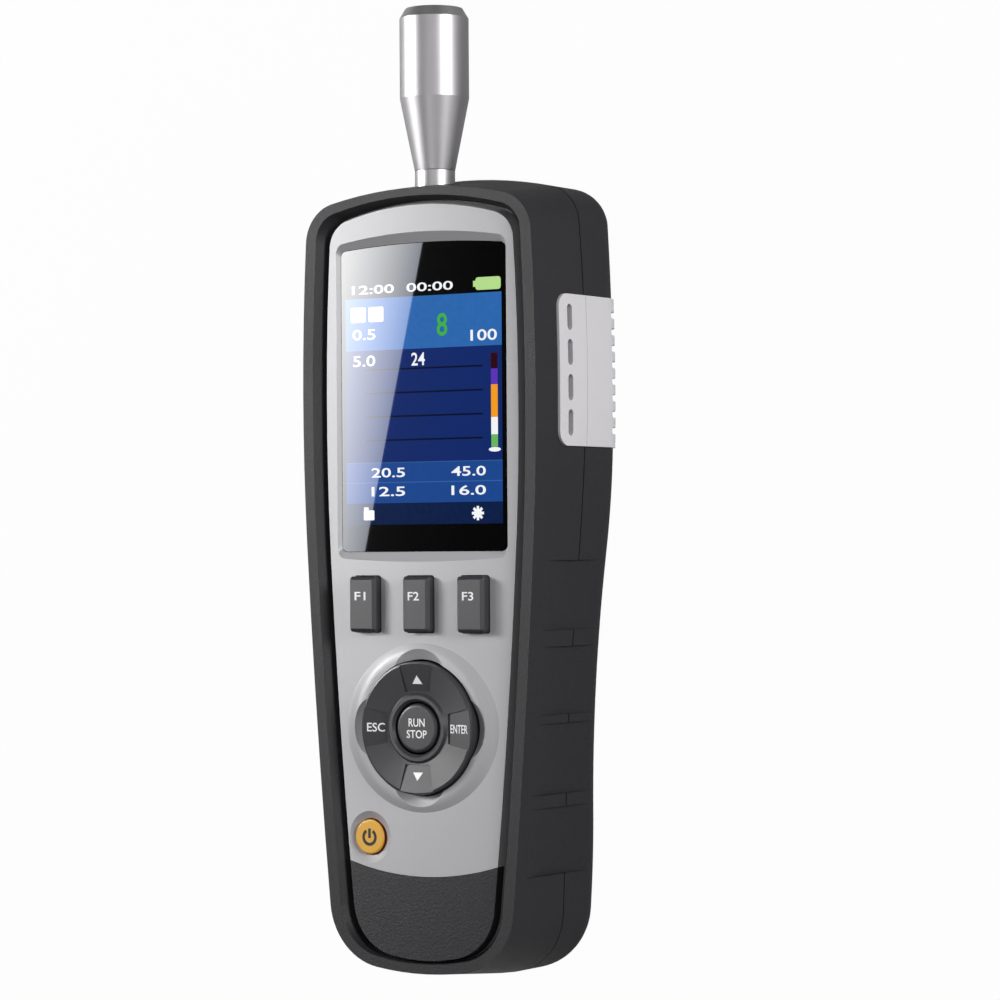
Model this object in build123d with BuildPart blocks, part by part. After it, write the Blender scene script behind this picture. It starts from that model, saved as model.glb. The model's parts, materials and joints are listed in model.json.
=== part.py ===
from build123d import *
import os

# Handheld airborne particle counter, lying on its back as it comes to rest.
# X runs across the case, Y along it towards the air inlet, Z out of the display.
# The origin is on the surface it lies on, under the middle of its length.
# Heights given to up() are measured along the case from its foot.

os.makedirs("parts", exist_ok=True)

# ---------------------------------------------------------------- driving dimensions (mm)
# Case outline at the front rim: half width at four heights, rounded corners, curved ends
foot_half, foot_height = 28.3, 4.4
waist_half, waist_height = 32.9, 57.7
shoulder_half, shoulder_height = 36.6, 115.4
head_half, head_height = 35.9, 206.2
head_crown = 5.1            # rise of the head's arc over its corners
foot_crown = 4.4            # drop of the foot's arc under its corners
head_round, foot_round = 11.0, 18.0
# The case swells from the front rim to its girth, then runs straight back
rim_z = 47.4
girth_z = 23.5
side_swell, head_swell, foot_swell = 0.3, 3.7, 2.2
back_round = 10.5
wall = 2.6
# Hollow of the back where the hand holds it
back_z = 0.6
hollow_depth = 4.4
hollow_low, hollow_high = 10.0, 146.0
# Parting line between the shells, as (height, z) along the side
seam = [(-20, 22.4), (14, 22.6), (48, 25.0), (76, 26.0), (118, 24.2), (150, 22.8), (190, 23.0), (240, 25.0)]
seam_groove, seam_groove_depth = 0.45, 0.5
# Front: rim, deck under the panel
rim_width, rim_head_width, rim_foot_width = 3.2, 2.2, 2.6
deck_z, deck_thickness = 43.0, 2.0
pocket_side, pocket_head, pocket_foot = 5.4, 4.0, 3.2
# Front panel
panel_gap = 0.25
panel_side, panel_head, panel_foot = 6.7, 4.9, 3.5
panel_edge_z, panel_crown = 45.5, 1.0
crown_width = 61.6
cover_split, cover_split_rise, cover_depth = 26.0, 3.4, 1.6
# Display window
window_half, window_low, window_high = 26.8, 113.2, 195.4
window_crown, window_z, window_corner = 1.3, 44.5, 1.8
bezel_side, bezel_end = 1.2, 2.7
window_ledge = 1.2
# Function keys
key_width, key_length, key_pitch, key_height = 8.6, 15.0, 17.4, 99.1
key_top, key_bevel, key_corner = 49.2, 0.9, 0.9
key_gap, key_travel, key_flange, flange_thickness = 0.3, 0.8, 0.9, 1.2
# Navigation ring with its centre button
nav_height, nav_radius, nav_top = 65.9, 17.9, 49.0
nav_gap, nav_hole, nav_foot_z = 0.5, 7.2, 42.2
nav_tilt_pad = 1.0
mound_radius, mound_rise = 26.3, 1.0
scoop_reach, scoop_radius, scoop_depth = 21.7, 8.4, 2.6
run_radius, run_top, run_stem, run_edge = 6.66, 48.6, 4.5, 1.0
running_gap, pin_gap = 0.08, 0.05
run_flange = 5.2
# Power button in its bowl
power_x, power_height, power_radius, power_top = -17.4, 36.0, 4.7, 46.0
bowl_radius, bowl_depth = 7.0, 2.2
# Vent saddle round the back and sides
vent_low, vent_high, vent_front, vent_corner = 141.2, 181.8, 36.4, 4.0
vent_proud, cover_thickness, fit_gap, vent_ledge = 0.6, 1.4, 0.15, 3.0
slot_width, slot_length, slot_pitch, slot_count, slot_z = 2.4, 7.0, 9.4, 4, 31.1
rear_opening_half = 20.0
rib_groove, rib_pitch, groove_count, groove_depth, groove_top = 1.9, 4.5, 8, 1.4, 9.5
# Hand grips pressed into the sides, as (low, high) heights
grips = [(18.7, 37.0), (40.6, 59.7), (63.7, 82.0), (86.3, 105.0)]
grip_z, grip_span, grip_depth = 28.0, 25.5, 0.9
# Inlet: nozzle, fixed fitting and its seal ring
inlet_z = 37.9
collar_sink, collar_length, elbow_reach = 3.0, 8.2, 3.5     # below and above the crown of the head
nozzle_radius, neck_radius, nozzle_length, nozzle_cone = 9.4, 5.5, 43.9, 19.5
nozzle_mouth, nozzle_bore, mouth_depth, nozzle_chamfer = 7.4, 2.0, 11.0, 1.6
nozzle_lip = 2.7
spigot_radius, spigot_length, socket_gap, socket_depth = 3.6, 9.5, 0.05, 11.0
ring_section = 0.7
elbow_radius, elbow_low_z, barb_low_z = 3.0, 30.0, 25.0
barb_radius, air_bore = 2.4, 1.6
hose_wall, hose_bend, hose_grip = 1.0, 5.0, 4.0
collar_low = head_height + head_crown - collar_sink
elbow_height = collar_low - elbow_reach
nozzle_foot = collar_low + collar_length
nozzle_top, nozzle_cone_top = nozzle_foot + nozzle_length, nozzle_foot + nozzle_cone
spigot_top = nozzle_foot + spigot_length
# Circuit board, display module, keypad
board_z, board_thickness, board_gap = 34.0, 1.6, 2.0
board_low, board_high = 12.0, 196.0
lcd_half, lcd_low, lcd_high, lcd_z, lcd_thickness = 28.0, 110.5, 198.0, 36.8, 3.2
mat_thickness, dome_radius, dome_top, mat_half = 1.0, 2.6, 38.0, 24.0
mat_low, mat_high = 27.0, 108.5
# Screws and their posts, as (x, height)
screw_places = [(29.3, 202.0), (29.0, 98.0), (19.5, 12.5)]
post_radius, screw_radius, head_radius, head_thickness = 4.2, 1.45, 2.8, 1.8
screw_hole, head_hole, head_seat = 1.55, 3.1, 8.0
screw_length = 22.0
board_places = [(30.5, 150.0), (26.6, 60.0), (20.0, 22.0)]
board_post, board_screw, board_head, board_head_thickness = 2.2, 0.95, 2.0, 1.2
door_screw_height, door_screw_seat, door_screw_length = 89.0, 5.6, 6.0
door_screw, door_head, door_head_thickness, door_boss = 1.2, 2.3, 1.2, 3.2
# Tripod insert in the back
tripod_height, tripod_radius, tripod_bore, tripod_length = 119.0, 4.8, 2.6, 8.5
tripod_z, tripod_depth, tripod_boss = 3.2, 8.0, 7.0
# Battery and its door
door_half, door_low, door_high, door_corner = 23.0, 26.0, 92.0, 4.0
pack_half, pack_low, pack_high, pack_thickness = 20.5, 28.0, 84.5, 17.0
pack_z = back_z + hollow_depth + wall
# Port flap on the left side
flap_low, flap_high, flap_z, flap_top_z = 108.5, 137.5, 27.4, 35.4
flap_thickness, flap_ledge, flap_corner = 1.2, 1.6, 1.5
# Sockets behind the flap, as (low, high) heights, length across and thickness
socket_corner = 0.8
power_low, power_high, power_length, power_thickness = 111.0, 119.0, 12.0, 6.0
usb_low, usb_high, usb_length, usb_thickness = 121.0, 128.6, 8.0, 3.4
card_low, card_high, card_length, card_thickness = 130.0, 135.6, 9.0, 1.8
plug_room = 0.7             # between the board's edge and the sockets' mouths
jack_radius, jack_pin, metal_skin, tongue = 2.55, 0.65, 0.4, 0.6
# Sounder and the small board of the air sensors behind the side vent
buzzer_x, buzzer_height, buzzer_radius, buzzer_thickness = -16.0, 100.0, 5.5, 4.0
climate_x, climate_thickness, climate_low, climate_high, climate_z = 30.6, 1.2, 156.0, 176.0, 24.0
# Air path inside
chamber_half, chamber_low, chamber_high, chamber_thickness, chamber_inlet = 19.0, 152.0, 190.0, 18.0, 4.0
laser_height, laser_radius, laser_length = 171.0, 4.5, 8.0
detector_radius, detector_length = 6.0, 3.5
pump_x, pump_z, pump_radius, pump_length = 17.0, 17.0, 8.5, 24.0
pump_head_half, pump_head_length = 8.0, 10.0
filter_x, filter_z, filter_radius, filter_length = -14.0, 21.0, 6.5, 26.0
nipple_radius, nipple_length = 2.0, 8.0
clip_half, clip_length = 8.0, 12.0

middle = (nozzle_top - foot_swell) / 2


def up(height):
    """Y of a point at this height above the foot."""
    return height - middle


def case_outline(z, side, head, foot, corner_inset):
    """Face at height z, drawn in from the case's outline there by side, head and foot."""
    swell = min((rim_z - z) / (rim_z - girth_z), 1)
    out = side_swell * swell - side
    rise = head_swell * swell - head
    drop = foot_swell * swell - foot
    with BuildSketch(Plane.XY.offset(z)) as face:
        with BuildLine():
            for sign in (1, -1):
                foot_end = (sign * (foot_half + out), up(foot_height - drop))
                head_end = (sign * (head_half + out), up(head_height + rise))
                shoulder = (sign * (shoulder_half + out), up(shoulder_height))
                flank = ThreePointArc(foot_end, (sign * (waist_half + out), up(waist_height)), shoulder)
                TangentArc(shoulder, head_end, tangent=flank % 1)
            ThreePointArc((foot_half + out, up(foot_height - drop)),
                          (0, up(foot_height - foot_crown - drop)),
                          (-foot_half - out, up(foot_height - drop)))
            ThreePointArc((head_half + out, up(head_height + rise)),
                          (0, up(head_height + head_crown + rise)),
                          (-head_half - out, up(head_height + rise)))
        make_face()
        fillet(face.vertices().sort_by(Axis.Y)[-2:], radius=head_round - corner_inset)
        fillet(face.vertices().sort_by(Axis.Y)[:2], radius=foot_round - corner_inset)
    return face.sketch


def behind_back(inset):
    """Solid behind the back's lengthwise line, which hollows for the hand."""
    low_z = back_z + inset
    quarter = (hollow_high - hollow_low) / 4
    beyond = 20
    with BuildPart() as space:
        with BuildSketch(Plane.YZ):
            with BuildLine():
                start = Line((up(-beyond), low_z), (up(hollow_low), low_z))
                enter = TangentArc(start @ 1, (up(hollow_low + quarter), low_z + hollow_depth / 2),
                                   tangent=start % 1)
                bed = TangentArc(enter @ 1, (up(hollow_high - quarter), low_z + hollow_depth / 2),
                                 tangent=enter % 1)
                leave = TangentArc(bed @ 1, (up(hollow_high), low_z), tangent=bed % 1)
                finish = Line(leave @ 1, (up(nozzle_top), low_z))
                Polyline(start @ 0, (up(-beyond), -beyond), (up(nozzle_top), -beyond), finish @ 1)
            make_face()
        extrude(amount=2 * head_half, both=True)
    return space.part


def case_form(inset, front_z):
    """The case's outer body drawn in by inset, up to front_z."""
    front = case_outline(front_z, inset, inset, inset, inset)
    girth = case_outline(girth_z, inset, inset, inset, inset)
    with BuildPart() as form:
        loft(sections=[girth, front], ruled=True)
        extrude(girth, amount=girth_z + 2 * hollow_depth, dir=(0, 0, -1))
        add(behind_back(inset), mode=Mode.SUBTRACT)
        back_rim = form.edges().filter_by(
            lambda edge: edge.bounding_box().max.Z < back_round and edge.geom_type != GeomType.LINE)
        fillet(back_rim, radius=back_round - inset)
    return form.part


def below_seam(shift=0.0):
    """Everything behind the parting line, moved forward by shift."""
    with BuildPart() as space:
        with BuildSketch(Plane.YZ):
            with BuildLine():
                line = Spline(*[(up(height), z + shift) for height, z in seam])
                Polyline(line @ 0, (up(seam[0][0]), -rim_z), (up(seam[-1][0]), -rim_z), line @ 1)
            make_face()
        extrude(amount=2 * head_half, both=True)
    return space.part


def side_prism(low, high, z_low, z_high, corner, x_low, x_high):
    """Rounded bar across X over a stretch of the side."""
    with BuildPart() as prism:
        with BuildSketch(Plane.YZ.offset(x_low)):
            with Locations((up((low + high) / 2), (z_low + z_high) / 2)):
                RectangleRounded(high - low, z_high - z_low, corner)
        extrude(amount=x_high - x_low)
    return prism.part


def window_outline(z, side, end):
    """Display opening with an arched head, drawn out by side and end."""
    with BuildSketch(Plane.XY.offset(z)) as face:
        with BuildLine():
            half = window_half + side
            low, high = up(window_low - end), up(window_high + end)
            Polyline((-half, high), (-half, low), (half, low), (half, high))
            ThreePointArc((half, high), (0, high + window_crown), (-half, high))
        make_face()
        fillet(face.vertices(), radius=window_corner + side)
    return face.sketch


def block(x_low, x_high, low, high, z_low, z_high, corner=0.0):
    """Plain box between two corners, its upright edges rounded by corner."""
    with BuildPart() as box:
        with BuildSketch(Plane.XY.offset(z_low)):
            with Locations(((x_low + x_high) / 2, up((low + high) / 2))):
                if corner:
                    RectangleRounded(x_high - x_low, high - low, corner)
                else:
                    Rectangle(x_high - x_low, high - low)
        extrude(amount=z_high - z_low)
    return box.part


def write(piece, label):
    piece.part.label = label
    export_step(piece.part, f"parts/{label}.step")


# ---------------------------------------------------------------- shared forms
deck_low = deck_z - deck_thickness
outer = case_form(0, rim_z)
cavity = case_form(wall, deck_low)
skin_inside = case_form(cover_thickness, rim_z)
behind_seam = below_seam()
reach = 2 * head_half
saddle_low_z = -2 * hollow_depth
saddle_gap = side_prism(vent_low - fit_gap, vent_high + fit_gap, saddle_low_z, vent_front + fit_gap,
                        vent_corner + fit_gap, -reach, reach)
side_opening = side_prism(vent_low + vent_ledge, vent_high - vent_ledge, slot_z - vent_ledge,
                          slot_z + vent_ledge, slot_width / 2, -reach, reach)
rear_opening = block(-rear_opening_half, rear_opening_half, vent_low + vent_ledge,
                     vent_high - vent_ledge, saddle_low_z, back_round, slot_width)
flap_gap = side_prism(flap_low - fit_gap, flap_high + fit_gap, flap_z - fit_gap,
                      flap_top_z + fit_gap, flap_corner + fit_gap, -reach, 0)
flap_hole = side_prism(flap_low + flap_ledge, flap_high - flap_ledge, flap_z + flap_ledge / 2,
                       flap_top_z - flap_ledge / 2, flap_corner / 2, -reach, -head_half + 3 * wall)
flap_bed = case_form(flap_thickness, rim_z)
screw_points = [(sign * x, up(height)) for x, height in screw_places for sign in (1, -1)]
board_points = [(sign * x, up(height)) for x, height in board_places for sign in (1, -1)]
board_top = board_z + board_thickness
door_screw_centre = (0, up(door_screw_height))
key_centres = [(count * key_pitch, up(key_height)) for count in (-1, 0, 1)]
nav_centre = (0, up(nav_height))
power_centre = (power_x, up(power_height))
grip_radius = (grip_span ** 2 / 4 + grip_depth ** 2) / (2 * grip_depth)


def half_width(height):
    """Half width of the case's side, straight between its named heights."""
    steps = [(foot_height, foot_half), (waist_height, waist_half),
             (shoulder_height, shoulder_half), (head_height, head_half)]
    for (low, low_half), (high, high_half) in zip(steps, steps[1:]):
        if height <= high:
            return low_half + (high_half - low_half) * (height - low) / (high - low)
    return head_half


with BuildPart() as grip_cuts:
    for low, high in grips:
        low_x = half_width(low) + side_swell
        high_x = half_width(high) + side_swell
        for sign in (1, -1):
            centre_low = (sign * (low_x + grip_radius - grip_depth), up(low), grip_z)
            lean = Vector(sign * (high_x - low_x), high - low, 0)
            with BuildSketch(Plane(origin=centre_low, z_dir=lean)):
                Circle(grip_radius)
            extrude(amount=lean.length)

with BuildPart() as posts:
    with BuildSketch(Plane.XY.offset(back_z + wall)):
        with Locations(*screw_points):
            Circle(post_radius)
    extrude(amount=deck_low - back_z - wall)
    add(case_form(wall / 2, deck_low), mode=Mode.INTERSECT)

with BuildPart() as tripod_post:
    with BuildSketch(Plane.XY.offset(tripod_z)):
        with Locations((0, up(tripod_height))):
            Circle(tripod_boss)
    extrude(amount=tripod_length + wall)

with BuildPart() as body_shape:
    add(outer)
    add(cavity, mode=Mode.SUBTRACT)
    add(posts.part)
    add(tripod_post.part)
    add(grip_cuts.part, mode=Mode.SUBTRACT)
    # seats and openings of the vent saddle and the port flap
    add(saddle_gap - skin_inside, mode=Mode.SUBTRACT)
    add(side_opening, mode=Mode.SUBTRACT)
    add(rear_opening, mode=Mode.SUBTRACT)
    add(flap_gap - flap_bed, mode=Mode.SUBTRACT)
    add(flap_hole, mode=Mode.SUBTRACT)
    # shadow groove along the parting line
    add((below_seam(seam_groove / 2) - below_seam(-seam_groove / 2))
        - case_form(seam_groove_depth, rim_z), mode=Mode.SUBTRACT)

# ---------------------------------------------------------------- case shells
rim_pocket_low = case_outline(deck_z, pocket_side, pocket_head, pocket_foot, pocket_foot)
rim_pocket_high = case_outline(rim_z, rim_width, rim_head_width, rim_foot_width, rim_width)

with BuildPart() as front_shell:
    add(body_shape.part)
    add(behind_seam, mode=Mode.SUBTRACT)
    loft(sections=[rim_pocket_low, rim_pocket_high], ruled=True, mode=Mode.SUBTRACT)
    # deck openings: display, keys, navigation ring, power button
    extrude(window_outline(deck_low, -window_ledge, -window_ledge), amount=deck_thickness,
            mode=Mode.SUBTRACT)
    with BuildSketch(Plane.XY.offset(deck_low)):
        with Locations(*key_centres):
            RectangleRounded(key_width + 2 * key_gap, key_length + 2 * key_gap, key_corner)
        with Locations(nav_centre):
            Circle(nav_radius + nav_gap)
        with Locations(power_centre):
            Circle(power_radius + key_gap)
    extrude(amount=deck_thickness, mode=Mode.SUBTRACT)
    # inlet fitting's hole through the head
    with BuildSketch(Plane.XZ.offset(-up(collar_low))):
        with Locations((0, inlet_z)):
            Circle(neck_radius)
    extrude(amount=-(nozzle_top - collar_low), mode=Mode.SUBTRACT)
    with BuildSketch(Plane.XY.offset(head_seat)):
        with Locations(*screw_points):
            Circle(screw_hole)
    extrude(amount=screw_length, mode=Mode.SUBTRACT)
    # posts that hold the circuit board
    with BuildSketch(Plane.XY.offset(board_top)):
        with Locations(*board_points):
            Circle(board_post)
            Circle(board_screw + pin_gap, mode=Mode.SUBTRACT)
    extrude(amount=deck_low - board_top)
write(front_shell, "front_shell")

with BuildPart() as door_prism:
    add(block(-door_half, door_half, door_low, door_high, saddle_low_z, back_round, door_corner))

with BuildPart() as back_shell:
    add(body_shape.part)
    add(behind_seam, mode=Mode.INTERSECT)
    # battery door: seat and opening
    add(block(-door_half - fit_gap, door_half + fit_gap, door_low - fit_gap, door_high + fit_gap,
              saddle_low_z, back_round, door_corner) - skin_inside, mode=Mode.SUBTRACT)
    add(block(-door_half + vent_ledge, door_half - vent_ledge, door_low + vent_ledge,
              door_high - 2 * vent_ledge, saddle_low_z, back_round, door_corner / 2),
        mode=Mode.SUBTRACT)
    with BuildSketch(Plane.XY.offset(saddle_low_z)):
        with Locations(*screw_points):
            Circle(head_hole)
    extrude(amount=head_seat - saddle_low_z, mode=Mode.SUBTRACT)
    with BuildSketch(Plane.XY.offset(head_seat)):
        with Locations(*screw_points):
            Circle(screw_hole)
    extrude(amount=screw_length, mode=Mode.SUBTRACT)
    with BuildSketch(Plane.XY.offset(saddle_low_z)):
        with Locations((0, up(tripod_height))):
            Circle(tripod_radius)
    extrude(amount=tripod_z + tripod_length - saddle_low_z, mode=Mode.SUBTRACT)
    # boss for the battery door's screw
    with BuildSketch(Plane.XY.offset(door_screw_seat + cover_thickness)):
        with Locations(door_screw_centre):
            Circle(door_boss)
    extrude(amount=door_screw_length)
    with BuildSketch(Plane.XY.offset(door_screw_seat)):
        with Locations(door_screw_centre):
            Circle(door_screw + pin_gap)
    extrude(amount=door_screw_length + wall, mode=Mode.SUBTRACT)
write(back_shell, "back_shell")

# ---------------------------------------------------------------- vent saddle
with BuildPart() as saddle:
    add(case_form(-vent_proud, rim_z))
    add(skin_inside, mode=Mode.SUBTRACT)
    add(side_prism(vent_low, vent_high, saddle_low_z, vent_front, vent_corner, -reach, reach),
        mode=Mode.INTERSECT)
    with BuildSketch(Plane.YZ.offset(-reach)):
        with Locations((up((vent_low + vent_high) / 2), slot_z)):
            with GridLocations(slot_pitch, 1, slot_count, 1):
                SlotOverall(slot_length, slot_width)
    extrude(amount=2 * reach, mode=Mode.SUBTRACT)

with BuildPart() as grooves:
    with BuildSketch(Plane.YZ.offset(-reach)):
        with Locations((up((vent_low + vent_high) / 2), groove_top - slot_length)):
            with GridLocations(rib_pitch, 1, groove_count, 1):
                SlotOverall(2 * slot_length, rib_groove, rotation=90)
    extrude(amount=2 * reach)
    add(case_form(groove_depth - vent_proud, rim_z), mode=Mode.SUBTRACT)

with BuildPart() as rear_vent:
    add(saddle.part)
    add(below_seam(-fit_gap / 2), mode=Mode.INTERSECT)
    add(grooves.part, mode=Mode.SUBTRACT)
write(rear_vent, "rear_vent")

for label, sign in (("right_vent", 1), ("left_vent", -1)):
    with BuildPart() as side_vent:
        add(saddle.part)
        add(below_seam(fit_gap / 2), mode=Mode.SUBTRACT)
        split(bisect_by=Plane.YZ, keep=Keep.TOP if sign > 0 else Keep.BOTTOM)
    write(side_vent, label)

# ---------------------------------------------------------------- front panel and lower cover
panel_base = case_outline(deck_z, pocket_side + panel_gap, pocket_head + panel_gap,
                          pocket_foot + panel_gap, pocket_foot)
panel_over = case_outline(nav_top, 2 * panel_side - pocket_side - panel_gap,
                          panel_head + panel_gap, panel_foot + panel_gap, pocket_foot)
crown_radius = (crown_width ** 2 / 4 + panel_crown ** 2) / (2 * panel_crown)
crown_top = panel_edge_z + panel_crown
scoop_sphere = (scoop_radius ** 2 + scoop_depth ** 2) / (2 * scoop_depth)
bowl_sphere = (bowl_radius ** 2 + bowl_depth ** 2) / (2 * bowl_depth)
panel_at_power = crown_top - power_x ** 2 / (2 * crown_radius)

with BuildPart() as crown:
    with BuildSketch(Plane.XZ.offset(-up(-wall))):
        with BuildLine():
            arc = ThreePointArc((-crown_width / 2, panel_edge_z), (0, crown_top),
                                (crown_width / 2, panel_edge_z))
            Line(arc @ 1, (crown_width / 2 + pocket_side, panel_edge_z - panel_crown))
            Line(arc @ 0, (-crown_width / 2 - pocket_side, panel_edge_z - panel_crown))
            Polyline((crown_width / 2 + pocket_side, panel_edge_z - panel_crown),
                     (crown_width / 2 + pocket_side, deck_z), (-crown_width / 2 - pocket_side, deck_z),
                     (-crown_width / 2 - pocket_side, panel_edge_z - panel_crown))
        make_face()
    extrude(amount=-(head_height + head_crown + wall))
    # mound that carries the navigation ring
    with BuildSketch(Plane.XZ.offset(-nav_centre[1])):
        with BuildLine():
            rise = Line((0, deck_z), (0, crown_top + mound_rise))
            shelf = Line(rise @ 1, (nav_radius + nav_gap + 1, crown_top + mound_rise))
            slope = Spline(shelf @ 1, (mound_radius - 3, crown_top - mound_rise / 4),
                           (mound_radius, crown_top - mound_rise), tangents=((1, 0), (1, -0.2)))
            Polyline(slope @ 1, (mound_radius, deck_z), (0, deck_z))
        make_face()
    revolve(axis=Axis((0, nav_centre[1], 0), (0, 0, 1)))

with BuildPart() as panel_cuts:
    with BuildSketch(Plane.XY.offset(deck_z)):
        with Locations(*key_centres):
            RectangleRounded(key_width + 2 * key_gap, key_length + 2 * key_gap, key_corner)
        with Locations(nav_centre):
            Circle(nav_radius + nav_gap)
        with Locations(power_centre):
            Circle(power_radius + key_gap)
    extrude(amount=rim_z - deck_z + wall)
    with Locations(Pos(power_x, power_centre[1], panel_at_power + bowl_sphere - bowl_depth)):
        Sphere(bowl_sphere)
    with Locations(Pos(0, nav_centre[1], crown_top + mound_rise + scoop_sphere - scoop_depth)):
        with PolarLocations(scoop_reach - scoop_radius, 4):
            Sphere(scoop_sphere)
    loft(sections=[window_outline(window_z, 0, 0),
                   window_outline(2 * crown_top - window_z, 2 * bezel_side, 2 * bezel_end)], ruled=True)
    extrude(window_outline(deck_z, 0, 0), amount=window_z - deck_z)

with BuildPart() as lower_zone:
    with BuildSketch(Plane.XY.offset(panel_edge_z - cover_depth)):
        with BuildLine():
            edge = ThreePointArc((-waist_half, up(cover_split + 2 * cover_split_rise)),
                                 (0, up(cover_split)),
                                 (waist_half, up(cover_split + 2 * cover_split_rise)))
            Polyline(edge @ 0, (-waist_half, up(-wall)), (waist_half, up(-wall)), edge @ 1)
        make_face()
    extrude(amount=2 * cover_depth + panel_crown)

with BuildPart() as panel_body:
    loft(sections=[panel_base, panel_over], ruled=True)
    add(crown.part, mode=Mode.INTERSECT)

with BuildPart() as front_panel:
    add(panel_body.part)
    add(panel_cuts.part, mode=Mode.SUBTRACT)
    add(lower_zone.part, mode=Mode.SUBTRACT)
write(front_panel, "front_panel")

with BuildPart() as lower_cover:
    add(panel_body.part)
    add(lower_zone.part, mode=Mode.INTERSECT)
write(lower_cover, "lower_cover")

# ---------------------------------------------------------------- display
with BuildPart() as display_window:
    extrude(window_outline(deck_z, -fit_gap, -fit_gap), amount=window_z - deck_z)
write(display_window, "display_window")

with BuildPart() as lcd_module:
    add(block(-lcd_half, lcd_half, lcd_low, lcd_high, lcd_z, lcd_z + lcd_thickness, 1.0))
write(lcd_module, "lcd_module")

with BuildPart() as display_gasket:
    add(block(-lcd_half, lcd_half, lcd_low, lcd_high, lcd_z + lcd_thickness, deck_low, 1.0))
    add(block(-window_half + 1, window_half - 1, window_low + 2, window_high - 1,
              lcd_z + lcd_thickness, deck_low), mode=Mode.SUBTRACT)
write(display_gasket, "display_gasket")

with BuildPart() as display_pad:
    add(block(-lcd_half + 2, lcd_half - 2, lcd_low + 2, board_high - 4,
              board_z + board_thickness, lcd_z))
write(display_pad, "display_pad")

# ---------------------------------------------------------------- keys
flange_z = deck_low - flange_thickness
plunger_z = dome_top + key_travel + 0.1

for label, centre in zip(("f1_key", "f2_key", "f3_key"), key_centres):
    with BuildPart() as key:
        with BuildSketch(Plane.XY.offset(deck_low)):
            with Locations(centre):
                RectangleRounded(key_width, key_length, key_corner)
        extrude(amount=key_top - deck_low)
        chamfer(key.faces().sort_by(Axis.Z)[-1].edges(), length=key_bevel)
        with BuildSketch(Plane.XY.offset(flange_z)):
            with Locations(centre):
                RectangleRounded(key_width + 2 * key_flange, key_length + 2 * key_flange, key_corner)
        extrude(amount=flange_thickness)
        with BuildSketch(Plane.XY.offset(plunger_z)):
            with Locations(centre):
                Circle(dome_radius / 2)
        extrude(amount=flange_z - plunger_z)
    write(key, label)

with BuildPart() as power_button:
    with BuildSketch(Plane.XY.offset(deck_low)):
        with Locations(power_centre):
            Circle(power_radius)
    extrude(amount=power_top - deck_low)
    fillet(power_button.faces().sort_by(Axis.Z)[-1].edges(), radius=0.5)
    with BuildSketch(Plane.XY.offset(flange_z)):
        with Locations(power_centre):
            Circle(power_radius + key_gap + key_flange)
    extrude(amount=flange_thickness)
    with BuildSketch(Plane.XY.offset(plunger_z)):
        with Locations(power_centre):
            Circle(dome_radius / 2)
    extrude(amount=flange_z - plunger_z)
write(power_button, "power_button")

# Navigation ring: dished face, raised collar round the centre button, four thumb wedges
collar_radius, collar_rise, dish_depth, ring_lip = 8.8, 0.2, 0.9, 0.7
wedge_inner, wedge_outer, wedge_depth = 4.0, 5.6, 0.35
wedge_start, wedge_end = collar_radius + 1.0, nav_radius - ring_lip / 2
ring_plate = nav_foot_z - nav_tilt_pad
ring_low = ring_plate - flange_thickness
with BuildPart() as wedge:
    with BuildSketch(Plane(origin=(wedge_start, 0, nav_top - dish_depth - wedge_depth),
                           x_dir=(wedge_end - wedge_start, 0, dish_depth + wedge_depth),
                           z_dir=(-dish_depth - wedge_depth, 0, wedge_end - wedge_start))):
        with BuildLine():
            Polyline((0, -wedge_inner), (nav_radius - wedge_start, -wedge_outer),
                     (nav_radius - wedge_start, wedge_outer), (0, wedge_inner), (0, -wedge_inner))
        make_face()
    extrude(amount=2 * dish_depth)

with BuildPart() as nav_ring:
    with BuildSketch(Plane.XZ.offset(-nav_centre[1])):
        with BuildLine():
            Polyline((nav_hole, nav_foot_z), (nav_radius, nav_foot_z), (nav_radius, nav_top - ring_lip),
                     (nav_radius - ring_lip / 4, nav_top - ring_lip / 4),
                     (nav_radius - ring_lip, nav_top), (collar_radius + ring_lip, nav_top - dish_depth),
                     (collar_radius, nav_top - collar_rise),
                     (nav_hole + ring_lip, nav_top - collar_rise), (nav_hole, nav_top - dish_depth),
                     (nav_hole, nav_foot_z))
        make_face()
    revolve(axis=Axis((0, nav_centre[1], 0), (0, 0, 1)))
    with Locations(nav_centre):
        with PolarLocations(0, 4):
            add(wedge.part, mode=Mode.SUBTRACT)
write(nav_ring, "nav_ring")

# Plunger ring: rocks up and down on the guide, and carries the ring rocking left and right
plunger_radius, plunger_inner, post_reach, pad_reach, pad_length = 16.4, 9.8, 14.6, 11.8, 2.4
with BuildPart() as nav_rocker:
    with BuildSketch(Plane.XY.offset(ring_low)):
        with Locations(nav_centre):
            Circle(plunger_radius)
            Circle(plunger_inner, mode=Mode.SUBTRACT)
    extrude(amount=flange_thickness)
    with BuildSketch(Plane.XY.offset(plunger_z)):
        with Locations(nav_centre):
            with PolarLocations(post_reach, 4):
                Circle(dome_radius / 2)
    extrude(amount=ring_low - plunger_z)
    for sign in (1, -1):
        with BuildSketch(Plane.XZ.offset(-nav_centre[1] - sign * pad_reach)):
            with Locations((0, ring_plate)):
                Circle(nav_tilt_pad - 0.02)
        extrude(amount=pad_length / 2, both=True)
write(nav_rocker, "nav_rocker")

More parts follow.
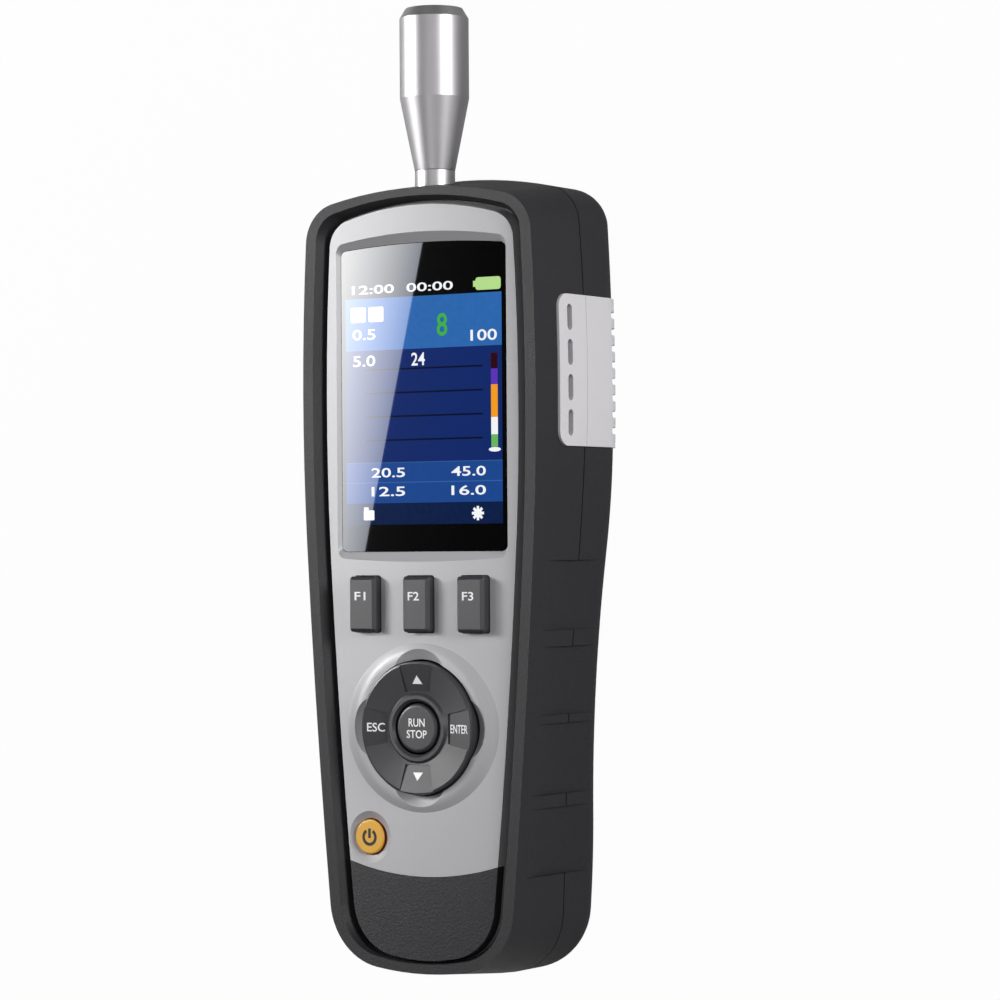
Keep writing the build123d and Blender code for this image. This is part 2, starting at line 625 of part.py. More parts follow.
guide_low = board_z + board_thickness + mat_thickness
guide_plate, guide_radius, guide_tube, guide_top = 1.0, 12.9, 6.2, 41.0
ridge_z = ring_low - nav_tilt_pad
with BuildPart() as nav_guide:
    with BuildSketch(Plane.XY.offset(guide_low)):
        with Locations(nav_centre):
            Circle(guide_radius)
    extrude(amount=guide_plate)
    with BuildSketch(Plane.XY.offset(guide_low + guide_plate)):
        with Locations(nav_centre):
            Circle(guide_tube)
    extrude(amount=guide_top - guide_low - guide_plate)
    for sign in (1, -1):
        with BuildSketch(Plane.YZ.offset(sign * pad_reach)):
            with Locations((nav_centre[1], ridge_z)):
                Circle(nav_tilt_pad - 0.02)
            with Locations((nav_centre[1], (ridge_z + guide_low) / 2)):
                Rectangle(2 * nav_tilt_pad - 0.04, ridge_z - guide_low)
        extrude(amount=pad_length / 2, both=True)
    with BuildSketch(Plane.XY.offset(guide_low)):
        with Locations(nav_centre):
            Circle(run_stem + running_gap)
    extrude(amount=guide_top - guide_low, mode=Mode.SUBTRACT)
    with BuildSketch(Plane.XY.offset(guide_low)):
        with Locations(nav_centre):
            Circle(run_flange + running_gap)
    extrude(amount=plunger_z + key_travel + pin_gap - guide_low, mode=Mode.SUBTRACT)
write(nav_guide, "nav_guide")

run_cap_z = guide_top + key_travel + 0.6
with BuildPart() as run_stop_button:
    with BuildSketch(Plane.XY.offset(run_cap_z)):
        with Locations(nav_centre):
            Circle(run_radius)
    extrude(amount=run_top - run_cap_z)
    fillet(run_stop_button.faces().sort_by(Axis.Z)[-1].edges(), radius=run_edge)
    with BuildSketch(Plane.XY.offset(plunger_z)):
        with Locations(nav_centre):
            Circle(run_stem)
    extrude(amount=run_cap_z - plunger_z)
    with BuildSketch(Plane.XY.offset(plunger_z)):
        with Locations(nav_centre):
            Circle(run_flange)
    extrude(amount=key_travel)
write(run_stop_button, "run_stop_button")

# ---------------------------------------------------------------- keypad and circuit board
dome_places = key_centres + [power_centre, nav_centre] + [
    (nav_centre[0] + x * post_reach, nav_centre[1] + y * post_reach)
    for x, y in ((1, 0), (0, 1), (-1, 0), (0, -1))]
with BuildPart() as keypad_mat:
    add(block(-mat_half, mat_half, mat_low, mat_high, board_top, board_top + mat_thickness, 2.0))
    with BuildSketch(Plane.XY.offset(board_top + mat_thickness)):
        with Locations(*dome_places):
            Circle(dome_radius / 2)
    extrude(amount=dome_top - board_top - mat_thickness)
write(keypad_mat, "keypad_mat")

with BuildPart() as main_board:
    board_face = case_outline(board_z, wall + board_gap, wall + board_gap, wall + board_gap, wall)
    extrude(board_face, amount=board_thickness)
    add(block(-head_half, head_half, board_low, board_high, board_z, board_top), mode=Mode.INTERSECT)
    with BuildSketch(Plane.XY.offset(board_z)):
        with Locations(*screw_points):
            Circle(post_radius + board_gap / 2)
        with Locations(*board_points):
            Circle(board_screw + pin_gap)
    extrude(amount=board_thickness, mode=Mode.SUBTRACT)
write(main_board, "main_board")

with BuildPart() as buzzer:
    with BuildSketch(Plane.XY.offset(board_z)):
        with Locations((buzzer_x, up(buzzer_height))):
            Circle(buzzer_radius)
    extrude(amount=-buzzer_thickness)
write(buzzer, "buzzer")

port_x = -half_width((flap_low + flap_high) / 2) + wall + board_gap + plug_room
jack_centre = (up((power_low + power_high) / 2), board_z - power_thickness / 2)
with BuildPart() as power_socket:
    add(block(port_x, port_x + power_length, power_low, power_high, board_z - power_thickness,
              board_z, socket_corner))
    with BuildSketch(Plane.YZ.offset(port_x)):
        with Locations(jack_centre):
            Circle(jack_radius)
            Circle(jack_pin, mode=Mode.SUBTRACT)
    extrude(amount=power_length - 2 * socket_corner, mode=Mode.SUBTRACT)
write(power_socket, "power_socket")

for label, low, high, length, thickness, blade in (
        ("usb_socket", usb_low, usb_high, usb_length, usb_thickness, tongue),
        ("card_socket", card_low, card_high, card_length, card_thickness, 0.0)):
    with BuildPart() as socket:
        add(block(port_x, port_x + length, low, high, board_z - thickness, board_z))
        add(block(port_x, port_x + length - socket_corner, low + metal_skin, high - metal_skin,
                  board_z - thickness + metal_skin, board_z - metal_skin), mode=Mode.SUBTRACT)
        if blade:
            add(block(port_x + blade, port_x + length, low + 2 * blade, high - 2 * blade,
                      board_z - (thickness + blade) / 2, board_z - (thickness - blade) / 2))
    write(socket, label)

with BuildPart() as port_flap:
    add(side_prism(flap_low, flap_high, flap_z, flap_top_z, flap_corner, -reach, 0))
    add(outer, mode=Mode.INTERSECT)
    add(flap_bed, mode=Mode.SUBTRACT)
write(port_flap, "port_flap")

# ---------------------------------------------------------------- battery, door, tripod insert, screws
with BuildPart() as battery_pack:
    add(block(-pack_half, pack_half, pack_low, pack_high, pack_z, pack_z + pack_thickness, 2.0))
write(battery_pack, "battery_pack")

with BuildPart() as battery_door:
    add(door_prism.part)
    add(outer, mode=Mode.INTERSECT)
    add(skin_inside, mode=Mode.SUBTRACT)
    with BuildSketch(Plane.XY.offset(back_z)):
        with Locations(door_screw_centre):
            Circle(door_head + fit_gap)
    extrude(amount=door_screw_seat - back_z, mode=Mode.SUBTRACT)
    with BuildSketch(Plane.XY.offset(back_z)):
        with Locations(door_screw_centre):
            Circle(door_screw + pin_gap)
    extrude(amount=back_round, mode=Mode.SUBTRACT)
write(battery_door, "battery_door")

with BuildPart() as door_screw_part:
    with BuildSketch(Plane.XY.offset(door_screw_seat - door_head_thickness)):
        with Locations(door_screw_centre):
            Circle(door_head)
    extrude(amount=door_head_thickness)
    with BuildSketch(Plane.XY.offset(door_screw_seat)):
        with Locations(door_screw_centre):
            Circle(door_screw)
    extrude(amount=door_screw_length)
write(door_screw_part, "door_screw")

with BuildPart() as board_screws:
    with BuildSketch(Plane.XY.offset(board_z - board_head_thickness)):
        with Locations(*board_points):
            Circle(board_head)
    extrude(amount=board_head_thickness)
    with BuildSketch(Plane.XY.offset(board_z)):
        with Locations(*board_points):
            Circle(board_screw)
    extrude(amount=deck_low - board_z - board_head_thickness)
write(board_screws, "board_screws")

with BuildPart() as tripod_insert:
    with BuildSketch(Plane.XY.offset(tripod_z)):
        with Locations((0, up(tripod_height))):
            Circle(tripod_radius)
    extrude(amount=tripod_length)
    with BuildSketch(Plane.XY.offset(tripod_z)):
        with Locations((0, up(tripod_height))):
            Circle(tripod_bore)
    extrude(amount=tripod_depth, mode=Mode.SUBTRACT)
write(tripod_insert, "tripod_insert")

with BuildPart() as case_screws:
    with BuildSketch(Plane.XY.offset(head_seat - head_thickness)):
        with Locations(*screw_points):
            Circle(head_radius)
    extrude(amount=head_thickness)
    with BuildSketch(Plane.XY.offset(head_seat)):
        with Locations(*screw_points):
            Circle(screw_radius)
    extrude(amount=screw_length - 1)
write(case_screws, "case_screws")

# ---------------------------------------------------------------- inlet
inlet_axis = Axis((0, 0, inlet_z), (0, 1, 0))
seal_y = up(spigot_top - 3)
with BuildPart() as inlet_nozzle:
    with BuildSketch(Plane.XY.offset(inlet_z)):
        with BuildLine():
            socket_radius = spigot_radius + socket_gap
            socket_top = nozzle_foot + socket_depth
            Polyline((socket_radius, up(nozzle_foot)), (neck_radius, up(nozzle_foot)),
                     (nozzle_radius, up(nozzle_cone_top)), (nozzle_radius, up(nozzle_top - nozzle_lip)),
                     (nozzle_radius - nozzle_chamfer, up(nozzle_top)), (nozzle_mouth, up(nozzle_top)),
                     (nozzle_mouth, up(nozzle_top - mouth_depth)),
                     (nozzle_bore, up(socket_top + 4)), (nozzle_bore, up(socket_top)),
                     (socket_radius, up(socket_top)), (socket_radius, up(nozzle_foot)))
        make_face()
    revolve(axis=inlet_axis)
write(inlet_nozzle, "inlet_nozzle")

with BuildPart() as inlet_fitting:
    with BuildSketch(Plane.XY.offset(inlet_z)):
        with BuildLine():
            Polyline((0, up(elbow_height)), (elbow_radius, up(elbow_height)), (elbow_radius, up(collar_low)),
                     (neck_radius - fit_gap / 3, up(collar_low)),
                     (neck_radius - fit_gap / 3, up(nozzle_foot) - fit_gap),
                     (spigot_radius, up(nozzle_foot) - fit_gap),
                     (spigot_radius, up(spigot_top)), (0, up(spigot_top)), (0, up(elbow_height)))
        make_face()
    revolve(axis=inlet_axis)
    with BuildSketch(Plane.XY.offset(elbow_low_z)):
        with Locations((0, up(elbow_height))):
            Circle(elbow_radius)
    extrude(amount=inlet_z - elbow_low_z)
    with BuildSketch(Plane.XY.offset(barb_low_z)):
        with Locations((0, up(elbow_height))):
            Circle(barb_radius)
    extrude(amount=elbow_low_z - barb_low_z)
    # seal ring's groove
    with BuildSketch(Plane.XY.offset(inlet_z)):
        with Locations((spigot_radius, seal_y)):
            Rectangle(4 * ring_section, 2 * ring_section + fit_gap)
    revolve(axis=inlet_axis, mode=Mode.SUBTRACT)
    # air passage: along the spigot, then down the barb
    with BuildSketch(Plane.XZ.offset(-up(elbow_height))):
        with Locations((0, inlet_z)):
            Circle(air_bore)
    extrude(amount=-(spigot_top - elbow_height), mode=Mode.SUBTRACT)
    with BuildSketch(Plane.XY.offset(barb_low_z)):
        with Locations((0, up(elbow_height))):
            Circle(air_bore)
    extrude(amount=inlet_z - barb_low_z, mode=Mode.SUBTRACT)
write(inlet_fitting, "inlet_fitting")

with BuildPart() as inlet_seal:
    with BuildSketch(Plane.XY.offset(inlet_z)):
        with Locations((spigot_radius - ring_section + socket_gap / 2, seal_y)):
            Circle(ring_section)
    revolve(axis=inlet_axis)
write(inlet_seal, "inlet_seal")

# ---------------------------------------------------------------- air path inside
hose_outer = barb_radius + hose_wall
chamber_z = board_z - chamber_thickness
chamber_inlet_z = chamber_z + chamber_inlet
barb_y = up(elbow_height)
hose_top = (0, barb_y, barb_low_z + hose_grip)
with BuildPart() as inlet_hose:
    with BuildLine():
        FilletPolyline(hose_top, (0, barb_y, chamber_inlet_z), (0, up(chamber_high), chamber_inlet_z),
                       radius=hose_bend)
    with BuildSketch(Plane(hose_top, z_dir=(0, 0, -1))):
        Circle(hose_outer)
        Circle(barb_radius, mode=Mode.SUBTRACT)
    sweep()
write(inlet_hose, "inlet_hose")

with BuildPart() as sensor_chamber:
    add(block(-chamber_half, chamber_half, chamber_low, chamber_high, chamber_z, board_z,
              socket_corner))
    fillet(sensor_chamber.faces().sort_by(Axis.Z)[0].edges(), radius=socket_corner)
write(sensor_chamber, "sensor_chamber")

with BuildPart() as laser_diode:
    with BuildSketch(Plane.YZ.offset(chamber_half)):
        with Locations((up(laser_height), chamber_z + chamber_thickness / 2)):
            Circle(laser_radius)
    extrude(amount=laser_length)
write(laser_diode, "laser_diode")

with BuildPart() as light_detector:
    with BuildSketch(Plane.XY.offset(chamber_z)):
        with Locations((0, up(laser_height))):
            Circle(detector_radius)
    extrude(amount=-detector_length)
write(light_detector, "light_detector")

pump_head_low = chamber_low - pump_head_length
pump_low = pump_head_low - pump_length
filter_high = chamber_low - nipple_length
filter_low = filter_high - filter_length
with BuildPart() as pump_motor:
    with BuildSketch(Plane.XZ.offset(-up(pump_low))):
        with Locations((pump_x, pump_z)):
            Circle(pump_radius)
    extrude(amount=-pump_length)
write(pump_motor, "pump_motor")

with BuildPart() as pump_head:
    add(block(pump_x - pump_head_half, pump_x + pump_head_half, pump_head_low, chamber_low,
              pump_z - pump_head_half, pump_z + pump_head_half, socket_corner))
write(pump_head, "pump_head")

with BuildPart() as exhaust_filter:
    with BuildSketch(Plane.XZ.offset(-up(filter_low))):
        with Locations((filter_x, filter_z)):
            Circle(filter_radius)
    extrude(amount=-(filter_high - filter_low))
    with BuildSketch(Plane.XZ.offset(-up(filter_low - nipple_length))):
        with Locations((filter_x, filter_z)):
            Circle(nipple_radius)
    extrude(amount=-(filter_length + 2 * nipple_length))
write(exhaust_filter, "exhaust_filter")

# Clips that hold the pump and the filter under the circuit board
for label, clip_x, clip_z, held, clip_low in (
        ("pump_clip", pump_x, pump_z, pump_radius, pump_low + (pump_length - clip_length) / 2),
        ("filter_clip", filter_x, filter_z, filter_radius, filter_low + (filter_length - clip_length) / 2)):
    with BuildPart() as clip:
        add(block(clip_x - clip_half, clip_x + clip_half, clip_low, clip_low + clip_length,
                  clip_z, board_z))
        with BuildSketch(Plane.XZ.offset(-up(clip_low))):
            with Locations((clip_x, clip_z)):
                Circle(held + pin_gap)
        extrude(amount=-clip_length, mode=Mode.SUBTRACT)
    write(clip, label)

with BuildPart() as climate_board:
    add(block(climate_x, climate_x + climate_thickness, climate_low, climate_high,
              climate_z, board_z))
write(climate_board, "climate_board")
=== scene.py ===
import json
import math

import bmesh
import bpy
from bpy.props import FloatProperty, FloatVectorProperty, IntProperty, PointerProperty
from mathutils import Color, Matrix, Vector

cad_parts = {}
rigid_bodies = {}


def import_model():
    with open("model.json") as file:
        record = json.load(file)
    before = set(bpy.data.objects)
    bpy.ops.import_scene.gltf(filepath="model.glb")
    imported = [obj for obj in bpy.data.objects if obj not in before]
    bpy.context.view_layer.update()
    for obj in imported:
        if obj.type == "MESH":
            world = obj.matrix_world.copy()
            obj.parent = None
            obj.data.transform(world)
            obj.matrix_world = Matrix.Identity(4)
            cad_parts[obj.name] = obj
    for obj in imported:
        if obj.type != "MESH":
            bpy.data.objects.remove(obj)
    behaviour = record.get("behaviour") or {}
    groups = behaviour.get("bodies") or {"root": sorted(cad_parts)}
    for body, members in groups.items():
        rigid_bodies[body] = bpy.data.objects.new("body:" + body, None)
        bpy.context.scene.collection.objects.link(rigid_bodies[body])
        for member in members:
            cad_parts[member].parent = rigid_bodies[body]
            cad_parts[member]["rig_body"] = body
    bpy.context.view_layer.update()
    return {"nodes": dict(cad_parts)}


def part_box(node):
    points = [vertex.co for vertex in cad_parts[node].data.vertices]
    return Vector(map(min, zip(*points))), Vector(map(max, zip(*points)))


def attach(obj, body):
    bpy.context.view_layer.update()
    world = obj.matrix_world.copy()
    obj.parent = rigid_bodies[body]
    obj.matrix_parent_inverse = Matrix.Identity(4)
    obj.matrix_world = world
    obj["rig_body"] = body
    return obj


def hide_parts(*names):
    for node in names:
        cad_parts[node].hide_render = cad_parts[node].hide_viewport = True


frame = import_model()

bl_info = {
    "name": "Particle Counter Dress",
    "version": (1, 0, 0),
    "blender": (4, 5, 0),
    "location": "View3D > Sidebar > Counter",
    "description": "Finishes, legends, screen and small hardware of a handheld particle counter",
    "category": "Object",
}

MM = 0.001
NODES = frame["nodes"]


def srgb(text):
    """Linear colour of a written six-digit one."""
    levels = [int(text[place:place + 2], 16) / 255 for place in (0, 2, 4)]
    return tuple(Color(levels).from_srgb_to_scene_linear())


def centre_of(node):
    """Middle of a CAD node's box, and its box."""
    low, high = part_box(node)
    return (low + high) / 2, low, high


# ---------------------------------------------------------------- sizes and colours
def colour_property(name, description, default):
    return FloatVectorProperty(name=name, description=description, default=srgb(default),
                               subtype="COLOR", min=0.0, max=1.0)


def length_property(name, description, default):
    return FloatProperty(name=name, description=description, default=default,
                         subtype="DISTANCE", unit="LENGTH", min=0.0)


class CounterColours(bpy.types.PropertyGroup):
    housing: colour_property("Housing", "Textured plastic of both shells", "262528")
    panel: colour_property("Panel", "Silver paint of the front panel", "b0afb1")
    cover: colour_property("Cover", "Textured plastic of the lower cover", "242326")
    keys: colour_property("Keys", "Plastic of the keys and the ring", "363538")
    vent: colour_property("Vent", "Plastic of the vents", "d3d1d4")
    amber: colour_property("Power button", "Top of the power button", "e9b03a")
    amber_side: colour_property("Power button side", "Side of the power button", "c24a12")
    legend: colour_property("Legend", "Printed legends", "fafafa")
    steel: colour_property("Inlet", "Turned metal of the inlet", "b3b1b3")
    band: colour_property("Reading band", "Upper field of the screen", "2e6bb5")
    field: colour_property("Chart field", "Middle field of the screen", "10296a")
    footer: colour_property("Footer band", "Lower field of the screen", "1c478f")


class CounterSizes(bpy.types.PropertyGroup):
    ink: length_property("Ink", "Thickness of printed legends", 0.04 * MM)
    grain: length_property("Grain", "Depth of the moulded texture", 0.09 * MM)
    recess: length_property("Recess", "Depth of a screw's cross recess", 0.9 * MM)
    thread_pitch: length_property("Thread pitch", "Pitch of the tripod socket's thread", 1.27 * MM)
    thread_turns: IntProperty(name="Thread turns", description="Turns of thread in the tripod socket",
                              default=5, min=1, max=12)


# ---------------------------------------------------------------- shader kit
def add_node(tree, kind, settings=None, values=None):
    """One node: its settings first, then the values or links of its sockets."""
    made = tree.nodes.new(kind)
    for name, value in (settings or {}).items():
        setattr(made, name, value)
    for socket, value in (values or {}).items():
        if isinstance(value, bpy.types.NodeSocket):
            tree.links.new(value, made.inputs[socket])
        else:
            made.inputs[socket].default_value = value
    return made


class Shade:
    """A number or colour in a finish; arithmetic on it adds Math nodes."""

    def __init__(self, finish, socket):
        self.finish = finish
        self.socket = socket

    def maths(self, operation, first, second=0.0, clamp=False):
        settings = {"operation": operation, "use_clamp": clamp}
        return self.finish.node("ShaderNodeMath", settings, {0: first, 1: second})

    def __add__(self, other):
        return self.maths("ADD", self, other)

    __radd__ = __add__

    def __sub__(self, other):
        return self.maths("SUBTRACT", self, other)

    def __rsub__(self, other):
        return self.maths("SUBTRACT", other, self)

    def __mul__(self, other):
        return self.maths("MULTIPLY", self, other)

    __rmul__ = __mul__

    def __truediv__(self, other):
        return self.maths("DIVIDE", self, other)

    def __rtruediv__(self, other):
        return self.maths("DIVIDE", other, self)

    def past(self, edge, blur=0.02 * MM):
        """0 before the edge and 1 past it."""
        return self.maths("ADD", (self - edge) / blur, 0.5, clamp=True)

    def within(self, low, high, blur=0.02 * MM):
        """1 between the two edges and 0 outside them."""
        return self.past(low, blur) * (1 - self.past(high, blur))

    def clamped(self):
        return self.maths("ADD", self, 0.0, clamp=True)


class Finish:
    """One material: a Principled surface and the nodes that feed it."""

    def __init__(self, name, colour=(0.5, 0.5, 0.5), **values):
        self.material = bpy.data.materials.new(name)
        self.material.use_nodes = True
        self.tree = self.material.node_tree
        self.tree.nodes.clear()
        self.surface = add_node(self.tree, "ShaderNodeBsdfPrincipled")
        self.output = add_node(self.tree, "ShaderNodeOutputMaterial", None, {0: self.surface.outputs[0]})
        self.set("Base Color", (*colour, 1.0))
        for socket, value in values.items():
            self.set(socket.replace("_", " "), value)
        self.place = None

    def node(self, kind, settings=None, values=None, output=0):
        """Adds one node, whose values may be shades, and wraps one of its outputs."""
        plain = {socket: value.socket if isinstance(value, Shade) else value
                 for socket, value in (values or {}).items()}
        return Shade(self, add_node(self.tree, kind, settings, plain).outputs[output])

    def set(self, socket, value):
        """A uniform value straight on the surface, or a link where it varies."""
        if isinstance(value, Shade):
            self.tree.links.new(value.socket, self.surface.inputs[socket])
        else:
            self.surface.inputs[socket].default_value = value

    def coordinates(self):
        if self.place is None:
            self.place = self.node("ShaderNodeTexCoord", output=3)
        return self.place

    def axes(self):
        """The object's own X, Y and Z in metres."""
        place = self.coordinates()
        split = self.node("ShaderNodeSeparateXYZ", None, {0: place})
        outputs = split.socket.node.outputs
        return [Shade(self, outputs[axis]) for axis in range(3)]

    def stretched(self, scale):
        """Coordinates scaled by a vector."""
        return self.node("ShaderNodeVectorMath", {"operation": "MULTIPLY"},
                         {0: self.coordinates(), 1: scale})

    def noise(self, scale, detail=2.0, roughness=0.5, place=None):
        return self.node("ShaderNodeTexNoise", None,
                         {"Vector": place or self.coordinates(), "Scale": scale,
                          "Detail": detail, "Roughness": roughness})

    def cells(self, scale):
        return self.node("ShaderNodeTexVoronoi", None, {"Vector": self.coordinates(), "Scale": scale})

    def mix(self, factor, first, second):
        """Second colour over the first by the factor."""
        first = (*first, 1.0) if isinstance(first, tuple) else first
        second = (*second, 1.0) if isinstance(second, tuple) else second
        return self.node("ShaderNodeMix", {"data_type": "RGBA"}, {0: factor, 6: first, 7: second}, output=2)

    def bump(self, height, strength, distance):
        self.set("Normal", self.node("ShaderNodeBump", None,
                                     {"Strength": strength, "Distance": distance, "Height": height}))

    def tones(self, colour, factor, spread):
        """The colour made darker and lighter by spread as the factor goes from 0 to 1."""
        dark = tuple(level * (1 - spread) for level in colour)
        light = tuple(min(level * (1 + spread), 1.0) for level in colour)
        self.set("Base Color", self.mix(factor, dark, light))


def moulded(name, colour, grain, scale=2200, roughness=0.55, spread=0.14, strength=0.9):
    """Spark-textured plastic: fine grain, slow tone changes and a matching roughness."""
    finish = Finish(name, colour)
    fine = finish.noise(scale, detail=3.0, roughness=0.6)
    slow = finish.noise(45, detail=2.0)
    finish.tones(colour, fine * 0.65 + slow * 0.35, spread)
    finish.set("Roughness", fine * 0.16 + slow * 0.08 + (roughness - 0.12))
    finish.set("Specular IOR Level", 0.35)
    finish.bump(fine, strength, grain)
    return finish


def painted(name, colour):
    """Satin metallic paint: tiny flakes and a faint orange peel."""
    finish = Finish(name, colour, Metallic=0.12, Coat_Roughness=0.3)
    flakes = finish.cells(9000)
    peel = finish.noise(700, detail=1.0)
    finish.tones(colour, flakes, 0.07)
    finish.set("Roughness", peel * 0.08 + 0.42)
    finish.set("Coat Weight", peel * 0.08 + 0.04)
    finish.bump(peel, 0.12, 0.02 * MM)
    return finish


def satin(name, colour, roughness=0.38, spread=0.05):
    """Smooth satin plastic with a faint moulded mottling."""
    finish = Finish(name, colour)
    fine = finish.noise(3500, detail=2.0)
    finish.tones(colour, fine, spread)
    finish.set("Roughness", fine * 0.1 + (roughness - 0.05))
    finish.bump(fine, 0.15, 0.015 * MM)
    return finish


def turned(name, colour, roughness=0.22, axis=1):
    """Lathe-turned metal: fine rings round its axis."""
    finish = Finish(name, colour, Metallic=1.0)
    stretch = [60, 60, 60]
    stretch[axis] = 9000
    rings = finish.noise(1.0, detail=3.0, place=finish.stretched(tuple(stretch)))
    cloud = finish.noise(90, detail=2.0)
    finish.tones(colour, rings, 0.05)
    finish.set("Roughness", rings * 0.1 + cloud * 0.08 + (roughness - 0.08))
    finish.bump(rings, 0.12, 0.01 * MM)
    return finish


def printed(name, colour, glow=0.0):
    """Ink, or a lit mark of the screen where glow is set."""
    finish = Finish(name, colour if not glow else (0.0, 0.0, 0.0), Roughness=0.35)
    if glow:
        finish.set("Emission Color", (*colour, 1.0))
        finish.set("Emission Strength", glow)
        finish.set("Roughness", 0.04)
        return finish
    speck = finish.noise(4000, detail=1.0)
    finish.tones(colour, speck, 0.04)
    return finish


def dress(node, finish):
    """Gives a CAD node its finish."""
    NODES[node].data.materials.clear()
    NODES[node].data.materials.append(finish.material)


# ---------------------------------------------------------------- mesh kit
def piece(name, mesh_maker, finish, body, replaced=()):
    """A new object from a bmesh, finished, riding on its body."""
    bm = bmesh.new()
    mesh_maker(bm)
    mesh = bpy.data.meshes.new(name)
    bm.to_mesh(mesh)
    bm.free()
    return settle(name, mesh, finish, body, replaced)


def settle(name, mesh, finish, body, replaced=()):
    made = bpy.data.objects.new(name, mesh)
    bpy.context.scene.collection.objects.link(made)
    mesh.materials.clear()
    mesh.materials.append(finish.material)
    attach(made, body)
    if replaced:
        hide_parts(*replaced)
    return made


def smooth(made, angle=30.0):
    """Smooth shading with sharp edges kept past the angle."""
    made.data.shade_smooth()
    made.data.set_sharp_from_angle(angle=math.radians(angle))


def lettering(name, words, place, finish, body, width, height, thickness, tilt=None):
    """Flat raised lettering, fitted to a width and height, centred on place."""
    curve = bpy.data.curves.new(name, "FONT")
    curve.body = words
    curve.size = 1.0
    curve.offset = 0.012
    curve.resolution_u = 3
    curve.extrude = 0.5
    holder = bpy.data.objects.new(name + "_curve", curve)
    bpy.context.scene.collection.objects.link(holder)
    bpy.context.view_layer.update()
    mesh = bpy.data.meshes.new_from_object(holder.evaluated_get(bpy.context.evaluated_depsgraph_get()))
    bpy.data.objects.remove(holder)
    bpy.data.curves.remove(curve)
    spots = [vertex.co for vertex in mesh.vertices]
    low = Vector([min(spot[axis] for spot in spots) for axis in range(3)])
    high = Vector([max(spot[axis] for spot in spots) for axis in range(3)])
    scale = Matrix.Diagonal((width / (high.x - low.x), height / (high.y - low.y), thickness, 1.0))
    mesh.transform(Matrix.Translation(-(low + high) / 2))
    mesh.transform(scale)
    mesh.transform(Matrix.Translation(place) @ (tilt or Matrix.Identity(4)))
    mesh.name = name
    return settle(name, mesh, finish, body)


def plate(bm, width, height, thickness, place, corner=0.0, segments=4):
    """A flat rectangular mark with rounded corners."""
    made = bmesh.ops.create_cube(bm, size=1.0)
    verts = made["verts"]
    bmesh.ops.scale(bm, vec=(width, height, thickness), verts=verts)
    if corner:
        edges = {edge for vert in verts for edge in vert.link_edges}
        upright = [edge for edge in edges if abs(edge.verts[0].co.z - edge.verts[1].co.z) > thickness / 2]
        made = bmesh.ops.bevel(bm, geom=upright, offset=corner, segments=segments, profile=0.5,
                               affect="EDGES", material=-1)
        verts = list({vert for face in made["faces"] for vert in face.verts} |
                     {vert for vert in verts if vert.is_valid})
    bmesh.ops.translate(bm, vec=place, verts=verts)
    return verts


# ---------------------------------------------------------------- finishes shared between operators
def colours():
    return bpy.context.scene.counter_colours


def sizes():
    return bpy.context.scene.counter_sizes


SHARED = {}


def shared(name, maker, tint, **values):
    """A finish that several operators use, made once."""
    if name not in SHARED:
        SHARED[name] = maker(name, tuple(tint), **values)
    return SHARED[name]


def legend_ink():
    return shared("Legend ink", printed, colours().legend)


def key_plastic():
    return shared("Key plastic", satin, colours().keys, roughness=0.36)


